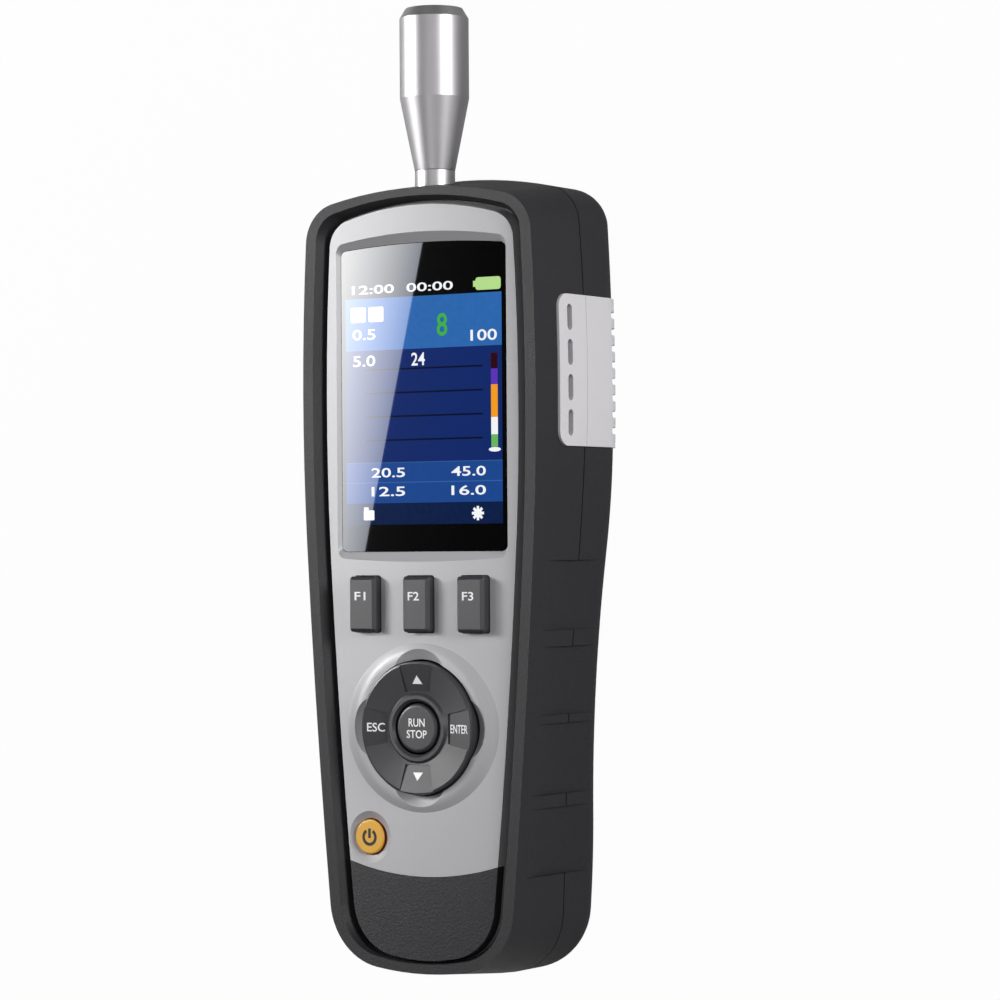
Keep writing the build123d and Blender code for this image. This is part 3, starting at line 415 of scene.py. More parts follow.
# ---------------------------------------------------------------- operators
class COUNTER_OT_stage(bpy.types.Operator):
    """Sets the camera, the lights, the floor and the backdrop"""

    bl_idname = "counter.stage"
    bl_label = "Stage"

    # Soft fill for everything but the camera, which sees white
    FILL = 0.13
    # Daylight in the glass: its upper right corner, the lean of its edge and its fade
    GLARE_TOP = (-0.636, 0.190)
    GLARE_LEAN = 0.235
    GLARE_FADE = 0.055
    GLARE_FAR = (-0.95, -0.040)
    GLARE_LEVEL = 1.0
    GLARE_DIM, GLARE_BRIGHT, GLARE_POWER = (0.28, 0.30, 0.34), (1.0, 1.0, 1.0), 20.0
    SKY = 1.25
    # Cards as left, foot, right, top and level in metres
    INLET_CARD = (-0.08, 0.08, 0.10, 0.30, 0.001)
    SKY_CARD = (0.0, -0.5, 1.5, 0.9, 1.3)
    DARK_CARD = (-1.1, -0.25, -0.40, 0.35, 1.03)
    EYE = (0.51872, -0.01584, 0.81765)
    AHEAD = (-0.53861, 0.01474, -0.84243)
    ABOVE = (0.01384, 0.99987, 0.00865)
    LENS, SENSOR = 124.457, 36.0
    FLOOR_REACH, FLOOR_WHITE = 3.0, 0.97
    FILL_TINT = (0.97, 0.98, 1.0, 1.0)
    WHITE = (1.0, 1.0, 1.0, 1.0)
    LAMPS = (("Key lamp", (-0.90, 0.27, 0.66), (0.0, 0.0, 0.03), 0.25, 10.0),
             ("Head lamp", (0.05, 0.95, 0.75), (0.0, 0.03, 0.03), 0.30, 0.3),
             ("Front lamp", (0.25, -0.55, 1.05), (0.0, 0.0, 0.03), 0.60, 0.8),
             ("Side lamp", (1.05, 0.30, 0.35), (0.0, 0.02, 0.02), 0.30, 9.0))

    def execute(self, context):
        scene = context.scene
        scene.view_settings.view_transform = "Standard"
        eye = Vector(self.EYE)
        ahead = Vector(self.AHEAD).normalized()
        right = ahead.cross(Vector(self.ABOVE)).normalized()
        above = right.cross(ahead)
        camera = bpy.data.cameras.new("Camera")
        camera.lens = self.LENS
        camera.sensor_width = self.SENSOR
        holder = bpy.data.objects.new("Camera", camera)
        turn = Matrix((right, above, -ahead)).transposed()
        holder.matrix_world = Matrix.Translation(eye) @ turn.to_4x4()
        scene.collection.objects.link(holder)
        scene.camera = holder
        self.floor()
        self.cards()
        self.world(scene)
        for lamp in self.LAMPS:
            self.lamp(*lamp)
        return {"FINISHED"}

    def floor(self):
        bm = bmesh.new()
        bmesh.ops.create_grid(bm, x_segments=1, y_segments=1, size=self.FLOOR_REACH)
        mesh = bpy.data.meshes.new("Floor")
        bm.to_mesh(mesh)
        bm.free()
        made = bpy.data.objects.new("Floor", mesh)
        bpy.context.scene.collection.objects.link(made)
        finish = Finish("Floor paper", (0.6, 0.6, 0.6), Roughness=0.9)
        tree = finish.tree
        path = add_node(tree, "ShaderNodeLightPath").outputs
        share = Shade(finish, path["Is Camera Ray"]) * self.FLOOR_WHITE
        white = add_node(tree, "ShaderNodeEmission", None, {0: self.WHITE})
        mixed = add_node(tree, "ShaderNodeMixShader", None,
                         {0: share.socket, 1: finish.surface.outputs[0], 2: white.outputs[0]})
        tree.links.new(mixed.outputs[0], finish.output.inputs[0])
        mesh.materials.append(finish.material)

    def card(self, name, corners, finish):
        """A flat card between four corners, that only mirrors and the glass can see."""
        bm = bmesh.new()
        bm.faces.new([bm.verts.new(corner) for corner in corners])
        mesh = bpy.data.meshes.new(name)
        bm.to_mesh(mesh)
        bm.free()
        made = bpy.data.objects.new(name, mesh)
        bpy.context.scene.collection.objects.link(made)
        made.visible_camera = False
        made.visible_diffuse = False
        made.visible_shadow = False
        mesh.materials.append(finish.material)

    def window_light(self):
        """Daylight that the display glass mirrors, brightest away from its slanted edge."""
        finish = Finish("Window card cloth", (0.0, 0.0, 0.0), Roughness=1.0)
        x, y, _ = finish.axes()
        edge = (y - self.GLARE_TOP[1]) * self.GLARE_LEAN + self.GLARE_TOP[0]
        fade = (edge - x) / self.GLARE_FADE
        finish.set("Emission Color", finish.mix(fade.clamped(), self.GLARE_DIM, self.GLARE_BRIGHT))
        finish.set("Emission Strength", self.GLARE_POWER)
        return finish

    def cards(self):
        top_x, top_y = self.GLARE_TOP
        far_x, foot_y = self.GLARE_FAR
        foot_x = top_x + (foot_y - top_y) * self.GLARE_LEAN
        level = self.GLARE_LEVEL
        self.card("Window card", [(top_x, top_y, level), (foot_x, foot_y, level),
                                  (far_x, foot_y, level), (far_x, top_y, level)], self.window_light())
        self.card("Inlet card", self.rectangle(*self.INLET_CARD),
                  Finish("Inlet card cloth", (0.35, 0.35, 0.35), Roughness=1.0))
        sky = Finish("Sky card cloth", (0.5, 0.5, 0.5), Roughness=1.0)
        sky.set("Emission Color", (0.5, 0.5, 0.5, 1.0))
        sky.set("Emission Strength", self.SKY)
        self.card("Sky card", self.rectangle(*self.SKY_CARD), sky)
        self.card("Dark card", self.rectangle(*self.DARK_CARD),
                  Finish("Dark card cloth", (0.01, 0.01, 0.01), Roughness=1.0))

    def rectangle(self, left, foot, right, top, level):
        """Corners of an upright rectangle at a level above the floor."""
        return [(left, foot, level), (right, foot, level), (right, top, level), (left, top, level)]

    def world(self, scene):
        """White to the camera and through glass, and a soft fill to everything else."""
        world = bpy.data.worlds.new("Studio")
        world.use_nodes = True
        tree = world.node_tree
        tree.nodes.clear()
        path = add_node(tree, "ShaderNodeLightPath").outputs
        either = add_node(tree, "ShaderNodeMath", {"operation": "ADD", "use_clamp": True},
                          {0: path["Is Camera Ray"], 1: path["Is Transmission Ray"]})
        fill = add_node(tree, "ShaderNodeBackground", None, {0: self.FILL_TINT, 1: self.FILL})
        seen = add_node(tree, "ShaderNodeBackground", None, {0: self.WHITE, 1: 1.0})
        mixed = add_node(tree, "ShaderNodeMixShader", None,
                         {0: either.outputs[0], 1: fill.outputs[0], 2: seen.outputs[0]})
        add_node(tree, "ShaderNodeOutputWorld", None, {0: mixed.outputs[0]})
        scene.world = world

    def lamp(self, name, place, target, size, energy):
        lamp = bpy.data.lights.new(name, "AREA")
        lamp.shape = "SQUARE"
        lamp.size = size
        lamp.energy = energy
        holder = bpy.data.objects.new(name, lamp)
        aim = (Vector(target) - Vector(place)).to_track_quat("-Z", "Y")
        holder.matrix_world = Matrix.Translation(place) @ aim.to_matrix().to_4x4()
        bpy.context.scene.collection.objects.link(holder)


class COUNTER_OT_housing(bpy.types.Operator):
    """Finishes the shells, the battery door, the socket flap and the lower cover"""

    bl_idname = "counter.housing"
    bl_label = "Housing"

    LIP_LENGTH, LIP_REACH, LIP_THICKNESS, LIP_ROUND = 12 * MM, 0.6 * MM, 0.9 * MM, 0.16 * MM

    def execute(self, context):
        tint = tuple(colours().housing)
        shell = moulded("Spark-textured housing", tint, sizes().grain, scale=1700, roughness=0.52)
        for node in ("front_shell", "back_shell", "battery_door"):
            dress(node, shell)
        cover = moulded("Lower cover", tuple(colours().cover), sizes().grain, scale=1500, roughness=0.5)
        dress("lower_cover", cover)
        flap = satin("Flap rubber", srgb("2c2b2e"), roughness=0.7)
        dress("port_flap", flap)
        self.flap_tab()
        return {"FINISHED"}

    def flap_tab(self):
        """Finger lip along the flap's free edge, square to its slanted face."""
        middle, low, high = centre_of("port_flap")
        spots = [vert.co for vert in NODES["port_flap"].data.vertices]
        foot = min(spot.x for spot in spots if spot.y < middle.y - self.LIP_LENGTH / 2)
        lean = math.atan((foot - low.x) / (high.y - low.y))
        face = (foot + low.x) / 2

        def lip(bm):
            verts = plate(bm, self.LIP_REACH, self.LIP_LENGTH, self.LIP_THICKNESS, (0, 0, 0))
            edges = list({edge for vert in verts for edge in vert.link_edges})
            bmesh.ops.bevel(bm, geom=edges, offset=self.LIP_ROUND, segments=2, profile=0.5,
                            affect="EDGES", material=-1)
            bmesh.ops.rotate(bm, verts=bm.verts[:], cent=(0, 0, 0), matrix=Matrix.Rotation(lean, 3, "Z"))
            bmesh.ops.translate(bm, verts=bm.verts[:],
                                vec=(face, middle.y, high.z - self.LIP_THICKNESS))

        finish = satin("Flap lip rubber", srgb("2c2b2e"), roughness=0.6)
        smooth(piece("flap_lip", lip, finish, "port_flap"))


class COUNTER_OT_panel(bpy.types.Operator):
    """Finishes the silver front panel"""

    bl_idname = "counter.panel"
    bl_label = "Front panel"

    def execute(self, context):
        dress("front_panel", painted("Silver paint", tuple(colours().panel)))
        return {"FINISHED"}


class COUNTER_OT_vents(bpy.types.Operator):
    """Finishes the vents and puts a dark screen behind their slots"""

    bl_idname = "counter.vents"
    bl_label = "Vents"

    SCREEN_WIDTH, SCREEN_LENGTH = 4.8 * MM, 33 * MM
    SCREEN_INSET, SCREEN_LEVEL = 2.6 * MM, 31.1 * MM
    WIRE, SHEET = 0.14 * MM, 0.2 * MM

    def execute(self, context):
        tint = tuple(colours().vent)
        plastic = satin("Vent plastic", tint, roughness=0.42, spread=0.03)
        for node in ("right_vent", "left_vent", "rear_vent"):
            dress(node, plastic)
        mesh_finish = satin("Vent screen", srgb("1d1d1f"), roughness=0.6)
        for name, node, sign in (("right_screen", "right_vent", 1), ("left_screen", "left_vent", -1)):
            self.screen(name, node, sign, mesh_finish)
        return {"FINISHED"}

    def screen(self, name, node, sign, finish):
        """Perforated dust screen in the opening behind the slots."""
        middle, low, high = centre_of(node)
        outer = high.x if sign > 0 else low.x

        def sheet(bm):
            made = bmesh.ops.create_grid(bm, x_segments=6, y_segments=34, size=0.5)
            bmesh.ops.scale(bm, vec=(self.SCREEN_WIDTH, self.SCREEN_LENGTH, 1.0),
                            verts=made["verts"])
            cells = bmesh.ops.inset_individual(bm, faces=bm.faces[:], thickness=self.WIRE)
            bmesh.ops.delete(bm, geom=[face for face in bm.faces if face not in set(cells["faces"])],
                             context="FACES")
            bmesh.ops.solidify(bm, geom=bm.faces[:], thickness=self.SHEET)
            turn = Matrix.Rotation(math.radians(90), 4, "Y")
            bmesh.ops.transform(bm, matrix=turn, verts=bm.verts[:])
            bmesh.ops.translate(bm, vec=(outer - sign * self.SCREEN_INSET, middle.y, self.SCREEN_LEVEL),
                                verts=bm.verts[:])

        piece(name, sheet, finish, "housing")


class COUNTER_OT_keys(bpy.types.Operator):
    """Finishes the function keys and prints their legends"""

    bl_idname = "counter.function_keys"
    bl_label = "Function keys"

    LEGEND_SHIFT, LEGEND_DROP = 0.4 * MM, 6.2 * MM
    LEGEND_WIDTH, LEGEND_HEIGHT = 3.6 * MM, 2.3 * MM

    def execute(self, context):
        plastic = key_plastic()
        ink = legend_ink()
        for count, node in enumerate(("f1_key", "f2_key", "f3_key"), start=1):
            dress(node, plastic)
            middle, _, high = centre_of(node)
            place = Vector((middle.x - self.LEGEND_SHIFT, high.y - self.LEGEND_DROP, high.z))
            lettering(f"f{count}_legend", f"F{count}", place, ink, node,
                      self.LEGEND_WIDTH, self.LEGEND_HEIGHT, sizes().ink)
        return {"FINISHED"}


class COUNTER_OT_navigation(bpy.types.Operator):
    """Finishes the navigation ring and the centre button with their legends"""

    bl_idname = "counter.navigation"
    bl_label = "Navigation"

    WEDGE_START, WEDGE_END, WEDGE_DROP = 9.8, 17.55, 1.25
    WEDGE_SLOPE = math.atan(WEDGE_DROP / (WEDGE_END - WEDGE_START))
    ARROW_REACH, ARROW_HALF, ARROW_TALL = 13.0, 1.6 * MM, 2.3 * MM

    def execute(self, context):
        plastic = key_plastic()
        dress("nav_ring", plastic)
        dress("run_stop_button", plastic)
        ink = legend_ink()
        middle, _, high = centre_of("nav_ring")
        for name, words, side, reach, width, height in (
                ("enter_legend", "ENTER", 1, 13.4, 6.2, 2.3),
                ("escape_legend", "ESC", -1, 13.4, 5.4, 2.4)):
            tilt = Matrix.Rotation(-side * self.WEDGE_SLOPE, 4, "Y")
            place = Vector((middle.x + side * reach * MM, middle.y, self.wedge_level(reach, high.z)))
            lettering(name, words, place, ink, "nav_ring",
                      width * MM, height * MM, sizes().ink, tilt)
        for name, sign in (("up_arrow", 1), ("down_arrow", -1)):
            self.arrow(name, sign, middle, high, ink)
        button, _, top = centre_of("run_stop_button")
        for name, words, lift, width in (("run_legend", "RUN", 1.5, 5.2), ("stop_legend", "STOP", -1.6, 6.5)):
            place = Vector((button.x, button.y + lift * MM, top.z))
            lettering(name, words, place, ink, "run_stop_button",
                      width * MM, 2.2 * MM, sizes().ink)
        return {"FINISHED"}

    def wedge_level(self, reach, top):
        """Height of a thumb wedge's floor at this distance from the centre."""
        return top - (self.WEDGE_END - reach) * MM * math.tan(self.WEDGE_SLOPE)

    def arrow(self, name, sign, middle, high, finish):
        def triangle(bm):
            made = bmesh.ops.create_cone(bm, cap_ends=True, segments=3, radius1=1.65 * MM,
                                         radius2=1.65 * MM, depth=sizes().ink)
            bmesh.ops.rotate(bm, verts=made["verts"], cent=(0, 0, 0),
                             matrix=Matrix.Rotation(math.radians(0 if sign > 0 else 180), 3, "Z"))
            tips = bm.verts[:]
            lowest = min(vert.co.y for vert in tips)
            highest = max(vert.co.y for vert in tips)
            widest = max(vert.co.x for vert in tips)
            bmesh.ops.translate(bm, verts=tips, vec=(0, -(lowest + highest) / 2, 0))
            bmesh.ops.scale(bm, verts=tips,
                            vec=(self.ARROW_HALF / widest, self.ARROW_TALL / (highest - lowest), 1))
            bmesh.ops.rotate(bm, verts=tips, cent=(0, 0, 0),
                             matrix=Matrix.Rotation(sign * self.WEDGE_SLOPE, 3, "X"))
            bmesh.ops.translate(bm, verts=tips, vec=(middle.x, middle.y + sign * self.ARROW_REACH * MM,
                                                     self.wedge_level(self.ARROW_REACH, high.z)))

        piece(name, triangle, finish, "nav_ring")


class COUNTER_OT_power(bpy.types.Operator):
    """Finishes the power button and prints its symbol"""

    bl_idname = "counter.power"
    bl_label = "Power button"

    # The symbol: a ring with a gap each side of its top, and a bar in the gap
    STROKE, RING_RADIUS, BAR_LENGTH, BAR_LIFT = 0.85 * MM, 1.95 * MM, 2.6 * MM, 0.95 * MM
    HALF_GAP, RING_STEPS, SYMBOL_DROP = 32, 28, 0.1 * MM

    def execute(self, context):
        middle, _, high = centre_of("power_button")
        finish = satin("Power button plastic", tuple(colours().amber), roughness=0.35)
        _, _, z = finish.axes()
        top = z.past(high.z - 0.42 * MM, 0.25 * MM)
        finish.set("Base Color", finish.mix(top, tuple(colours().amber_side), tuple(colours().amber)))
        dress("power_button", finish)
        ink = printed("Power symbol ink", srgb("0d0c0d"))

        def symbol(bm):
            start = math.radians(90 + self.HALF_GAP)
            section = bmesh.ops.create_grid(bm, x_segments=1, y_segments=1, size=0.5)["verts"]
            bmesh.ops.scale(bm, verts=section, vec=(self.STROKE, sizes().ink, 1))
            bmesh.ops.rotate(bm, verts=section, cent=(0, 0, 0),
                             matrix=Matrix.Rotation(math.radians(90), 3, "X"))
            bmesh.ops.translate(bm, verts=section, vec=(self.RING_RADIUS, 0, 0))
            bmesh.ops.rotate(bm, verts=section, cent=(0, 0, 0), matrix=Matrix.Rotation(start, 3, "Z"))
            bmesh.ops.spin(bm, geom=bm.faces[:] + bm.edges[:] + bm.verts[:], cent=(0, 0, 0),
                           axis=(0, 0, 1), angle=math.radians(360 - 2 * self.HALF_GAP),
                           steps=self.RING_STEPS)
            bmesh.ops.recalc_face_normals(bm, faces=bm.faces[:])
            bmesh.ops.translate(bm, verts=bm.verts[:],
                                vec=(middle.x, middle.y - self.SYMBOL_DROP, high.z))
            plate(bm, self.STROKE, self.BAR_LENGTH, sizes().ink,
                  (middle.x, middle.y + self.BAR_LIFT, high.z))

        piece("power_symbol", symbol, ink, "power_button")
        return {"FINISHED"}


class COUNTER_OT_screen(bpy.types.Operator):
    """Draws the lit screen on the display window"""

    bl_idname = "counter.screen"
    bl_label = "Screen"

    # Heights in the tables are millimetres along the case from its foot
    FOOT = -129.1
    GLASS, LIT_HALF, SOFT = 44.3 * MM, 25.3 * MM, 0.06 * MM
    CHART_SPAN, CHART_TOP, CHART_PITCH, CHART_LINES = (-19.0 * MM, 19.2 * MM), 162.7, 6.4, 4
    CHART_INK, CHART_SOFT = 0.22 * MM, 0.1 * MM
    SCALE_SPAN = (21.8 * MM, 23.9 * MM)
    SCALE = ((161.8, 166.0, "2c0512"), (157.6, 161.8, "5b33b4"), (148.9, 157.6, "f29a1e"),
             (144.3, 148.9, "f4f4f4"), (141.0, 144.3, "6ab45e"))
    FOOTER_RULES = (137.4, 132.0)
    # Name, words, x, height, width and tallness of each plain figure; one is green
    FIGURES = (("clock_digits", "12:00  00:00", -6.6, 184.6, 33.0, 2.4),
               ("upper_size", "0.5", -19.2, 172.4, 7.6, 2.9),
               ("upper_reading", "8", 6.3, 174.2, 3.4, 6.2),
               ("upper_range", "100", 19.6, 170.9, 8.4, 3.0),
               ("lower_size", "5.0", -19.2, 165.2, 7.4, 3.0),
               ("lower_reading", "24", -1.5, 165.2, 4.4, 3.5),
               ("first_value", "20.5", -11.5, 134.7, 11.0, 2.6),
               ("second_value", "45.0", 14.5, 134.7, 11.0, 2.6),
               ("third_value", "12.5", -11.5, 129.6, 11.0, 2.6),
               ("fourth_value", "16.0", 14.5, 129.6, 11.0, 2.6))
    GREEN_FIGURE = "upper_reading"

    def level(self, height):
        """Y of a height along the case."""
        return (height + self.FOOT) * MM

    def execute(self, context):
        tint = colours()
        finish = Finish("Display window", srgb("050506"), Roughness=0.03, IOR=1.5)
        x, y, z = finish.axes()
        face = z.past(self.GLASS)
        across = x.within(-self.LIT_HALF, self.LIT_HALF, self.SOFT) * face
        speck = finish.noise(700, detail=2.0)
        glow = (0.0, 0.0, 0.0)
        for low, high, colour, drop in (
                (168.0, 182.2, tuple(tint.band), 0.8),
                (137.5, 168.0, tuple(tint.field), 0.9),
                (126.4, 137.3, tuple(tint.footer), 0.9),
                (120.6, 126.3, srgb("0c2350"), 0.5)):
            field = across * y.within(self.level(low), self.level(high), self.SOFT)
            shade = tuple(part * drop for part in colour)
            glow = finish.mix(field, glow, finish.mix(speck, shade, colour))
        chart = x.within(*self.CHART_SPAN, self.CHART_SOFT)
        for line in range(self.CHART_LINES):
            at = self.level(self.CHART_TOP - self.CHART_PITCH * line)
            rule = chart * y.within(at - self.CHART_INK, at + self.CHART_INK, self.CHART_SOFT) * face
            glow = finish.mix(rule, glow, srgb("040a22"))
        for low, high, colour in self.SCALE:
            bar = x.within(*self.SCALE_SPAN) * y.within(self.level(low), self.level(high)) * face
            glow = finish.mix(bar, glow, srgb(colour))
        for at in self.FOOTER_RULES:
            rule = across * y.within(self.level(at - 0.12), self.level(at + 0.12), self.SOFT)
            glow = finish.mix(rule * 0.6, glow, srgb("3f6fb6"))
        finish.set("Emission Color", glow)
        finish.set("Emission Strength", 1.0)
        smudge = finish.noise(60, detail=3.0)
        finish.set("Roughness", smudge * 0.01 + 0.005)
        dress("display_window", finish)
        self.marks()
        return {"FINISHED"}

    def marks(self):
        """Plain figures and icons, a hair above the glass."""
        white = printed("Screen white", srgb("f3f5f8"), glow=1.0)
        green = printed("Screen green", srgb("3fae3c"), glow=1.0)
        pale = printed("Battery green", srgb("b4dc8c"), glow=1.0)
        _, _, high = centre_of("display_window")
        top = high.z + 0.005 * MM
        ink = 0.02 * MM
        for name, words, x, height, width, tall in self.FIGURES:
            finish = green if name == self.GREEN_FIGURE else white
            lettering(name, words, Vector((x * MM, self.level(height), top)), finish, "housing",
                      width * MM, tall * MM, ink)

        def squares(bm):
            for x in (-21.1, -15.2):
                plate(bm, 4.9 * MM, 4.1 * MM, ink, (x * MM, self.level(177.8), top), 0.4 * MM)

        piece("status_squares", squares, white, "housing")

        def battery(bm):
            plate(bm, 8.0 * MM, 3.4 * MM, ink, (21.1 * MM, self.level(184.6), top), 0.8 * MM)
            plate(bm, 0.9 * MM, 1.6 * MM, ink, (16.8 * MM, self.level(184.6), top))

        piece("battery_icon", battery, pale, "housing")

        def marker(bm):
            made = bmesh.ops.create_cone(bm, cap_ends=True, segments=24, radius1=1.9 * MM,
                                         radius2=1.9 * MM, depth=ink)
            bmesh.ops.scale(bm, verts=made["verts"], vec=(1.0, 0.32, 1.0))
            bmesh.ops.translate(bm, verts=made["verts"], vec=(22.9 * MM, self.level(140.3), top))

        piece("scale_marker", marker, white, "housing")

        def folder(bm):
            plate(bm, 3.5 * MM, 2.7 * MM, ink, (-17.9 * MM, self.level(123.2), top), 0.3 * MM)
            plate(bm, 1.5 * MM, 0.9 * MM, ink, (-18.8 * MM, self.level(124.9), top))

        piece("folder_icon", folder, white, "housing")

        def gear(bm):
            centre = Vector((17.4 * MM, self.level(123.4), top))
            bmesh.ops.create_cone(bm, cap_ends=True, segments=16, radius1=1.25 * MM,
                                  radius2=1.25 * MM, depth=ink)
            caps = [face for face in bm.faces if len(face.verts) == 16]
            bmesh.ops.inset_region(bm, faces=caps, thickness=0.7 * MM)
            bmesh.ops.translate(bm, verts=bm.verts[:], vec=centre)
            for tooth in range(8):
                turn = Matrix.Rotation(math.radians(45 * tooth), 3, "Z")
                verts = plate(bm, 0.75 * MM, 0.8 * MM, ink, (0, 1.5 * MM, 0))
                bmesh.ops.rotate(bm, verts=verts, cent=(0, 0, 0), matrix=turn)
                bmesh.ops.translate(bm, verts=verts, vec=centre)

        piece("gear_icon", gear, white, "housing")


class COUNTER_OT_inlet(bpy.types.Operator):
    """Finishes the metal inlet and its fitting"""

    bl_idname = "counter.inlet"
    bl_label = "Air inlet"

    def execute(self, context):
        tint = tuple(colours().steel)
        metal = turned("Turned inlet metal", tint, roughness=0.4)
        dress("inlet_nozzle", metal)
        dress("inlet_fitting", metal)
        dress("inlet_seal", satin("Seal rubber", srgb("161617"), roughness=0.6))
        return {"FINISHED"}


class COUNTER_OT_hardware(bpy.types.Operator):
    """Makes the back's screws with their recesses and the tripod socket's thread"""

    bl_idname = "counter.hardware"
    bl_label = "Screws and tripod socket"

    def execute(self, context):
        steel = turned("Screw steel", srgb("8a8a8c"), roughness=0.35, axis=2)
        self.screws("case_screw_set", "case_screws", steel, 2.8, 1.8, 1.45, 8.0)
        self.screws("door_screw_head", "door_screw", steel, 2.3, 1.2, 1.2, 5.6)
        dress("board_screws", steel)
        brass = turned("Insert brass", srgb("b9935a"), roughness=0.3, axis=2)
        dress("tripod_insert", brass)
        self.thread(brass)
        return {"FINISHED"}

    def screws(self, name, node, finish, head, thickness, shank, seat):
        """Pan heads with a cross recess, where the plain screws are."""
        spots = self.islands(node)

        def screw(bm):
            for spot in spots:
                before = set(bm.verts)
                bmesh.ops.create_circle(bm, cap_ends=True, segments=32, radius=head * MM)
                face = [found for found in bm.faces if not set(found.verts) & before][0]
                raised = bmesh.ops.extrude_face_region(bm, geom=[face])
                fresh = [item for item in raised["geom"] if isinstance(item, bmesh.types.BMVert)]
                bmesh.ops.translate(bm, verts=fresh, vec=(0, 0, -thickness * MM))
                top = [item for item in raised["geom"] if isinstance(item, bmesh.types.BMFace)][0]
                bmesh.ops.inset_region(bm, faces=[top], thickness=0.25 * MM, depth=0.0)
                bmesh.ops.inset_region(bm, faces=[top], thickness=0.75 * MM, depth=0.0)
                for vert in top.verts:
                    turn = math.atan2(vert.co.y, vert.co.x)
                    lobe = abs(math.cos(2 * turn))
                    pull = 0.42 + 0.58 * max(0.0, (lobe - 0.55) / 0.45)
                    vert.co.x *= pull
                    vert.co.y *= pull
                pushed = bmesh.ops.extrude_face_region(bm, geom=[top])
                fresh = [item for item in pushed["geom"] if isinstance(item, bmesh.types.BMVert)]
                bmesh.ops.delete(bm, geom=[top], context="FACES_ONLY")
                bmesh.ops.translate(bm, verts=fresh, vec=(0, 0, sizes().recess))
                bmesh.ops.scale(bm, verts=fresh, vec=(0.6, 0.6, 1.0))
                made = [vert for vert in bm.verts if vert not in before]
                bmesh.ops.translate(bm, verts=made, vec=(spot.x, spot.y, seat * MM))
                length = spot.z - seat * MM
                post = bmesh.ops.create_cone(bm, cap_ends=True, segments=20, radius1=shank * MM,
                                             radius2=shank * MM * 0.9, depth=length)["verts"]
                bmesh.ops.translate(bm, verts=post, vec=(spot.x, spot.y, seat * MM + length / 2))
            bmesh.ops.recalc_face_normals(bm, faces=bm.faces[:])

        body = NODES[node]["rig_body"]
        smooth(piece(name, screw, finish, body, (node,)))

    def islands(self, node):
        """Centre and top of each separate solid of a node."""
        spots = {}
        for vert in NODES[node].data.vertices:
            key = next((known for known in spots if (Vector(known) - vert.co.xy).length < 6 * MM), None)
            if key is None:
                key = tuple(vert.co.xy)
                spots[key] = []
            spots[key].append(vert.co.copy())
        found = []
        for group in spots.values():
            low = [min(spot[axis] for spot in group) for axis in range(3)]
            high = [max(spot[axis] for spot in group) for axis in range(3)]
            found.append(Vector(((low[0] + high[0]) / 2, (low[1] + high[1]) / 2, high[2])))
        return found

    def thread(self, finish):
        """Thread inside the tripod socket."""
        middle, low, _ = centre_of("tripod_insert")
        pitch, turns = sizes().thread_pitch, sizes().thread_turns

        def helix(bm):
            section = bmesh.ops.create_circle(bm, cap_ends=True, segments=3, radius=0.45 * MM)["verts"]
            bmesh.ops.rotate(bm, verts=section, cent=(0, 0, 0),
                             matrix=Matrix.Rotation(math.radians(90), 3, "X"))
            bmesh.ops.translate(bm, verts=section, vec=(2.75 * MM, 0, 0))
            bmesh.ops.spin(bm, geom=bm.faces[:] + bm.edges[:] + bm.verts[:], cent=(0, 0, 0),
                           axis=(0, 0, 1), dvec=(0, 0, pitch / 32), angle=math.radians(360) * turns,
                           steps=32 * turns)
            bmesh.ops.recalc_face_normals(bm, faces=bm.faces[:])
            bmesh.ops.translate(bm, verts=bm.verts[:], vec=(middle.x, middle.y, low.z + 0.8 * MM))

        smooth(piece("tripod_thread", helix, finish, "housing"))


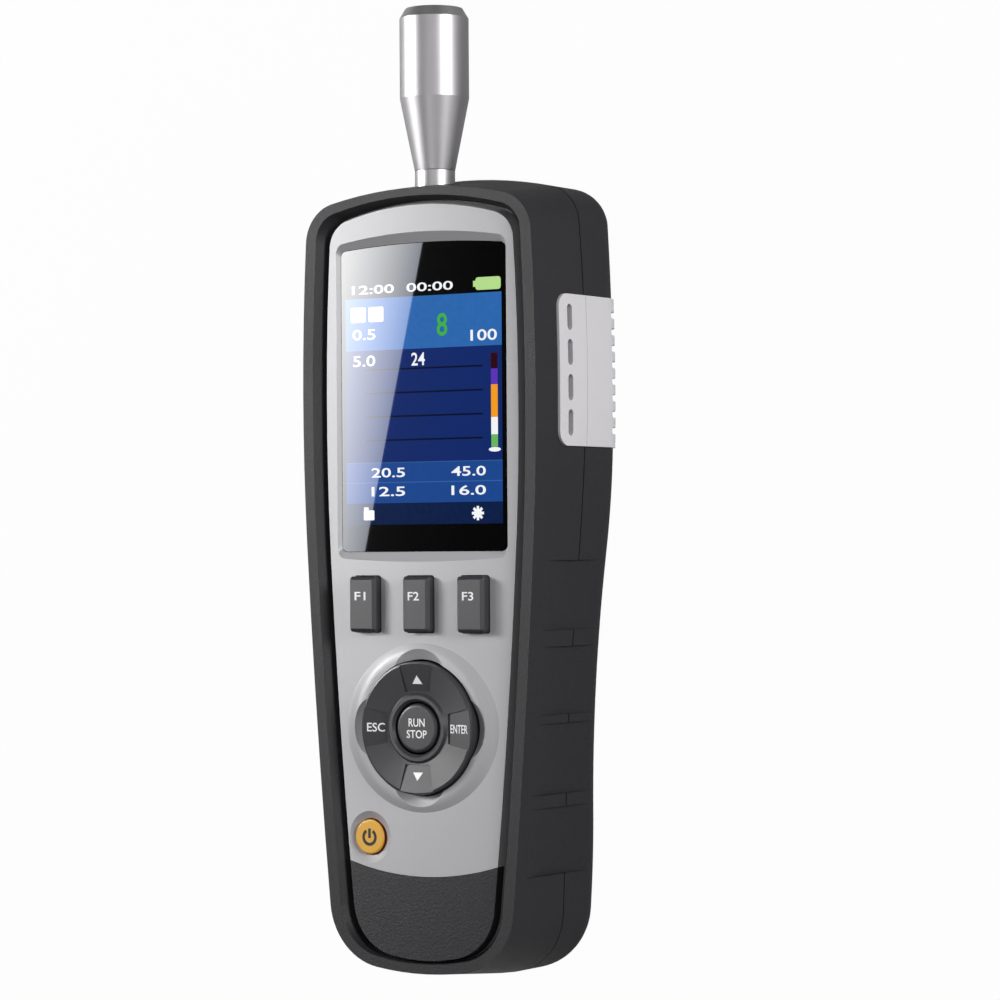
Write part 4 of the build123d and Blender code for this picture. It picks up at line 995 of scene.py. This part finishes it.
class COUNTER_OT_insides(bpy.types.Operator):
    """Finishes the parts inside the housing"""

    bl_idname = "counter.insides"
    bl_label = "Inside parts"

    def execute(self, context):
        board = Finish("Circuit board", srgb("1f5a35"))
        traces = board.cells(420)
        board.tones(srgb("1f5a35"), traces, 0.25)
        board.set("Roughness", traces * 0.2 + 0.3)
        board.bump(traces, 0.2, 0.02 * MM)
        for node in ("main_board", "climate_board"):
            dress(node, board)
        black = satin("Black plastic", srgb("222224"), roughness=0.5)
        for node in ("buzzer", "lcd_module", "light_detector", "nav_guide", "nav_rocker",
                     "power_socket", "pump_head"):
            dress(node, black)
        tin = turned("Tinned steel", srgb("a9a9ab"), roughness=0.35)
        for node in ("card_socket", "usb_socket", "pump_motor"):
            dress(node, tin)
        foam = moulded("Closed-cell foam", srgb("303032"), 0.1 * MM, scale=2600, roughness=0.9)
        for node in ("display_gasket", "display_pad", "pump_clip", "filter_clip"):
            dress(node, foam)
        dress("keypad_mat", satin("Silicone mat", srgb("8f8f92"), roughness=0.6))
        dress("inlet_hose", satin("Hose", srgb("c9c9c4"), roughness=0.45))
        dress("battery_pack", satin("Battery sleeve", srgb("2a4a7c"), roughness=0.4))
        dress("sensor_chamber", moulded("Black anodised block", srgb("2a2a2d"), 0.02 * MM, scale=2600,
                                        roughness=0.4))
        dress("laser_diode", turned("Laser barrel", srgb("b9935a"), roughness=0.3, axis=0))
        dress("exhaust_filter", satin("Filter body", srgb("dcdde0"), roughness=0.4))
        return {"FINISHED"}


OPERATORS = (COUNTER_OT_stage, COUNTER_OT_housing, COUNTER_OT_panel, COUNTER_OT_vents, COUNTER_OT_keys,
             COUNTER_OT_navigation, COUNTER_OT_power, COUNTER_OT_screen, COUNTER_OT_inlet,
             COUNTER_OT_hardware, COUNTER_OT_insides)


class COUNTER_PT_sidebar(bpy.types.Panel):
    """Lists the counter's operators, sizes and colours"""

    bl_idname = "COUNTER_PT_sidebar"
    bl_label = "Particle counter"
    bl_space_type = "VIEW_3D"
    bl_region_type = "UI"
    bl_category = "Counter"

    def draw(self, context):
        for operator in OPERATORS:
            self.layout.operator(operator.bl_idname)
        for group in (context.scene.counter_sizes, context.scene.counter_colours):
            box = self.layout.box()
            for name in group.__annotations__:
                box.prop(group, name)


CLASSES = (CounterColours, CounterSizes, *OPERATORS, COUNTER_PT_sidebar)


def register():
    for made in CLASSES:
        bpy.utils.register_class(made)
    bpy.types.Scene.counter_colours = PointerProperty(type=CounterColours)
    bpy.types.Scene.counter_sizes = PointerProperty(type=CounterSizes)


def unregister():
    del bpy.types.Scene.counter_sizes
    del bpy.types.Scene.counter_colours
    for made in reversed(CLASSES):
        bpy.utils.unregister_class(made)


def main():
    register()
    for step in (bpy.ops.counter.stage, bpy.ops.counter.housing, bpy.ops.counter.panel,
                 bpy.ops.counter.vents, bpy.ops.counter.function_keys, bpy.ops.counter.navigation,
                 bpy.ops.counter.power, bpy.ops.counter.screen, bpy.ops.counter.inlet,
                 bpy.ops.counter.hardware, bpy.ops.counter.insides):
        step()


if __name__ == "__main__":
    main()
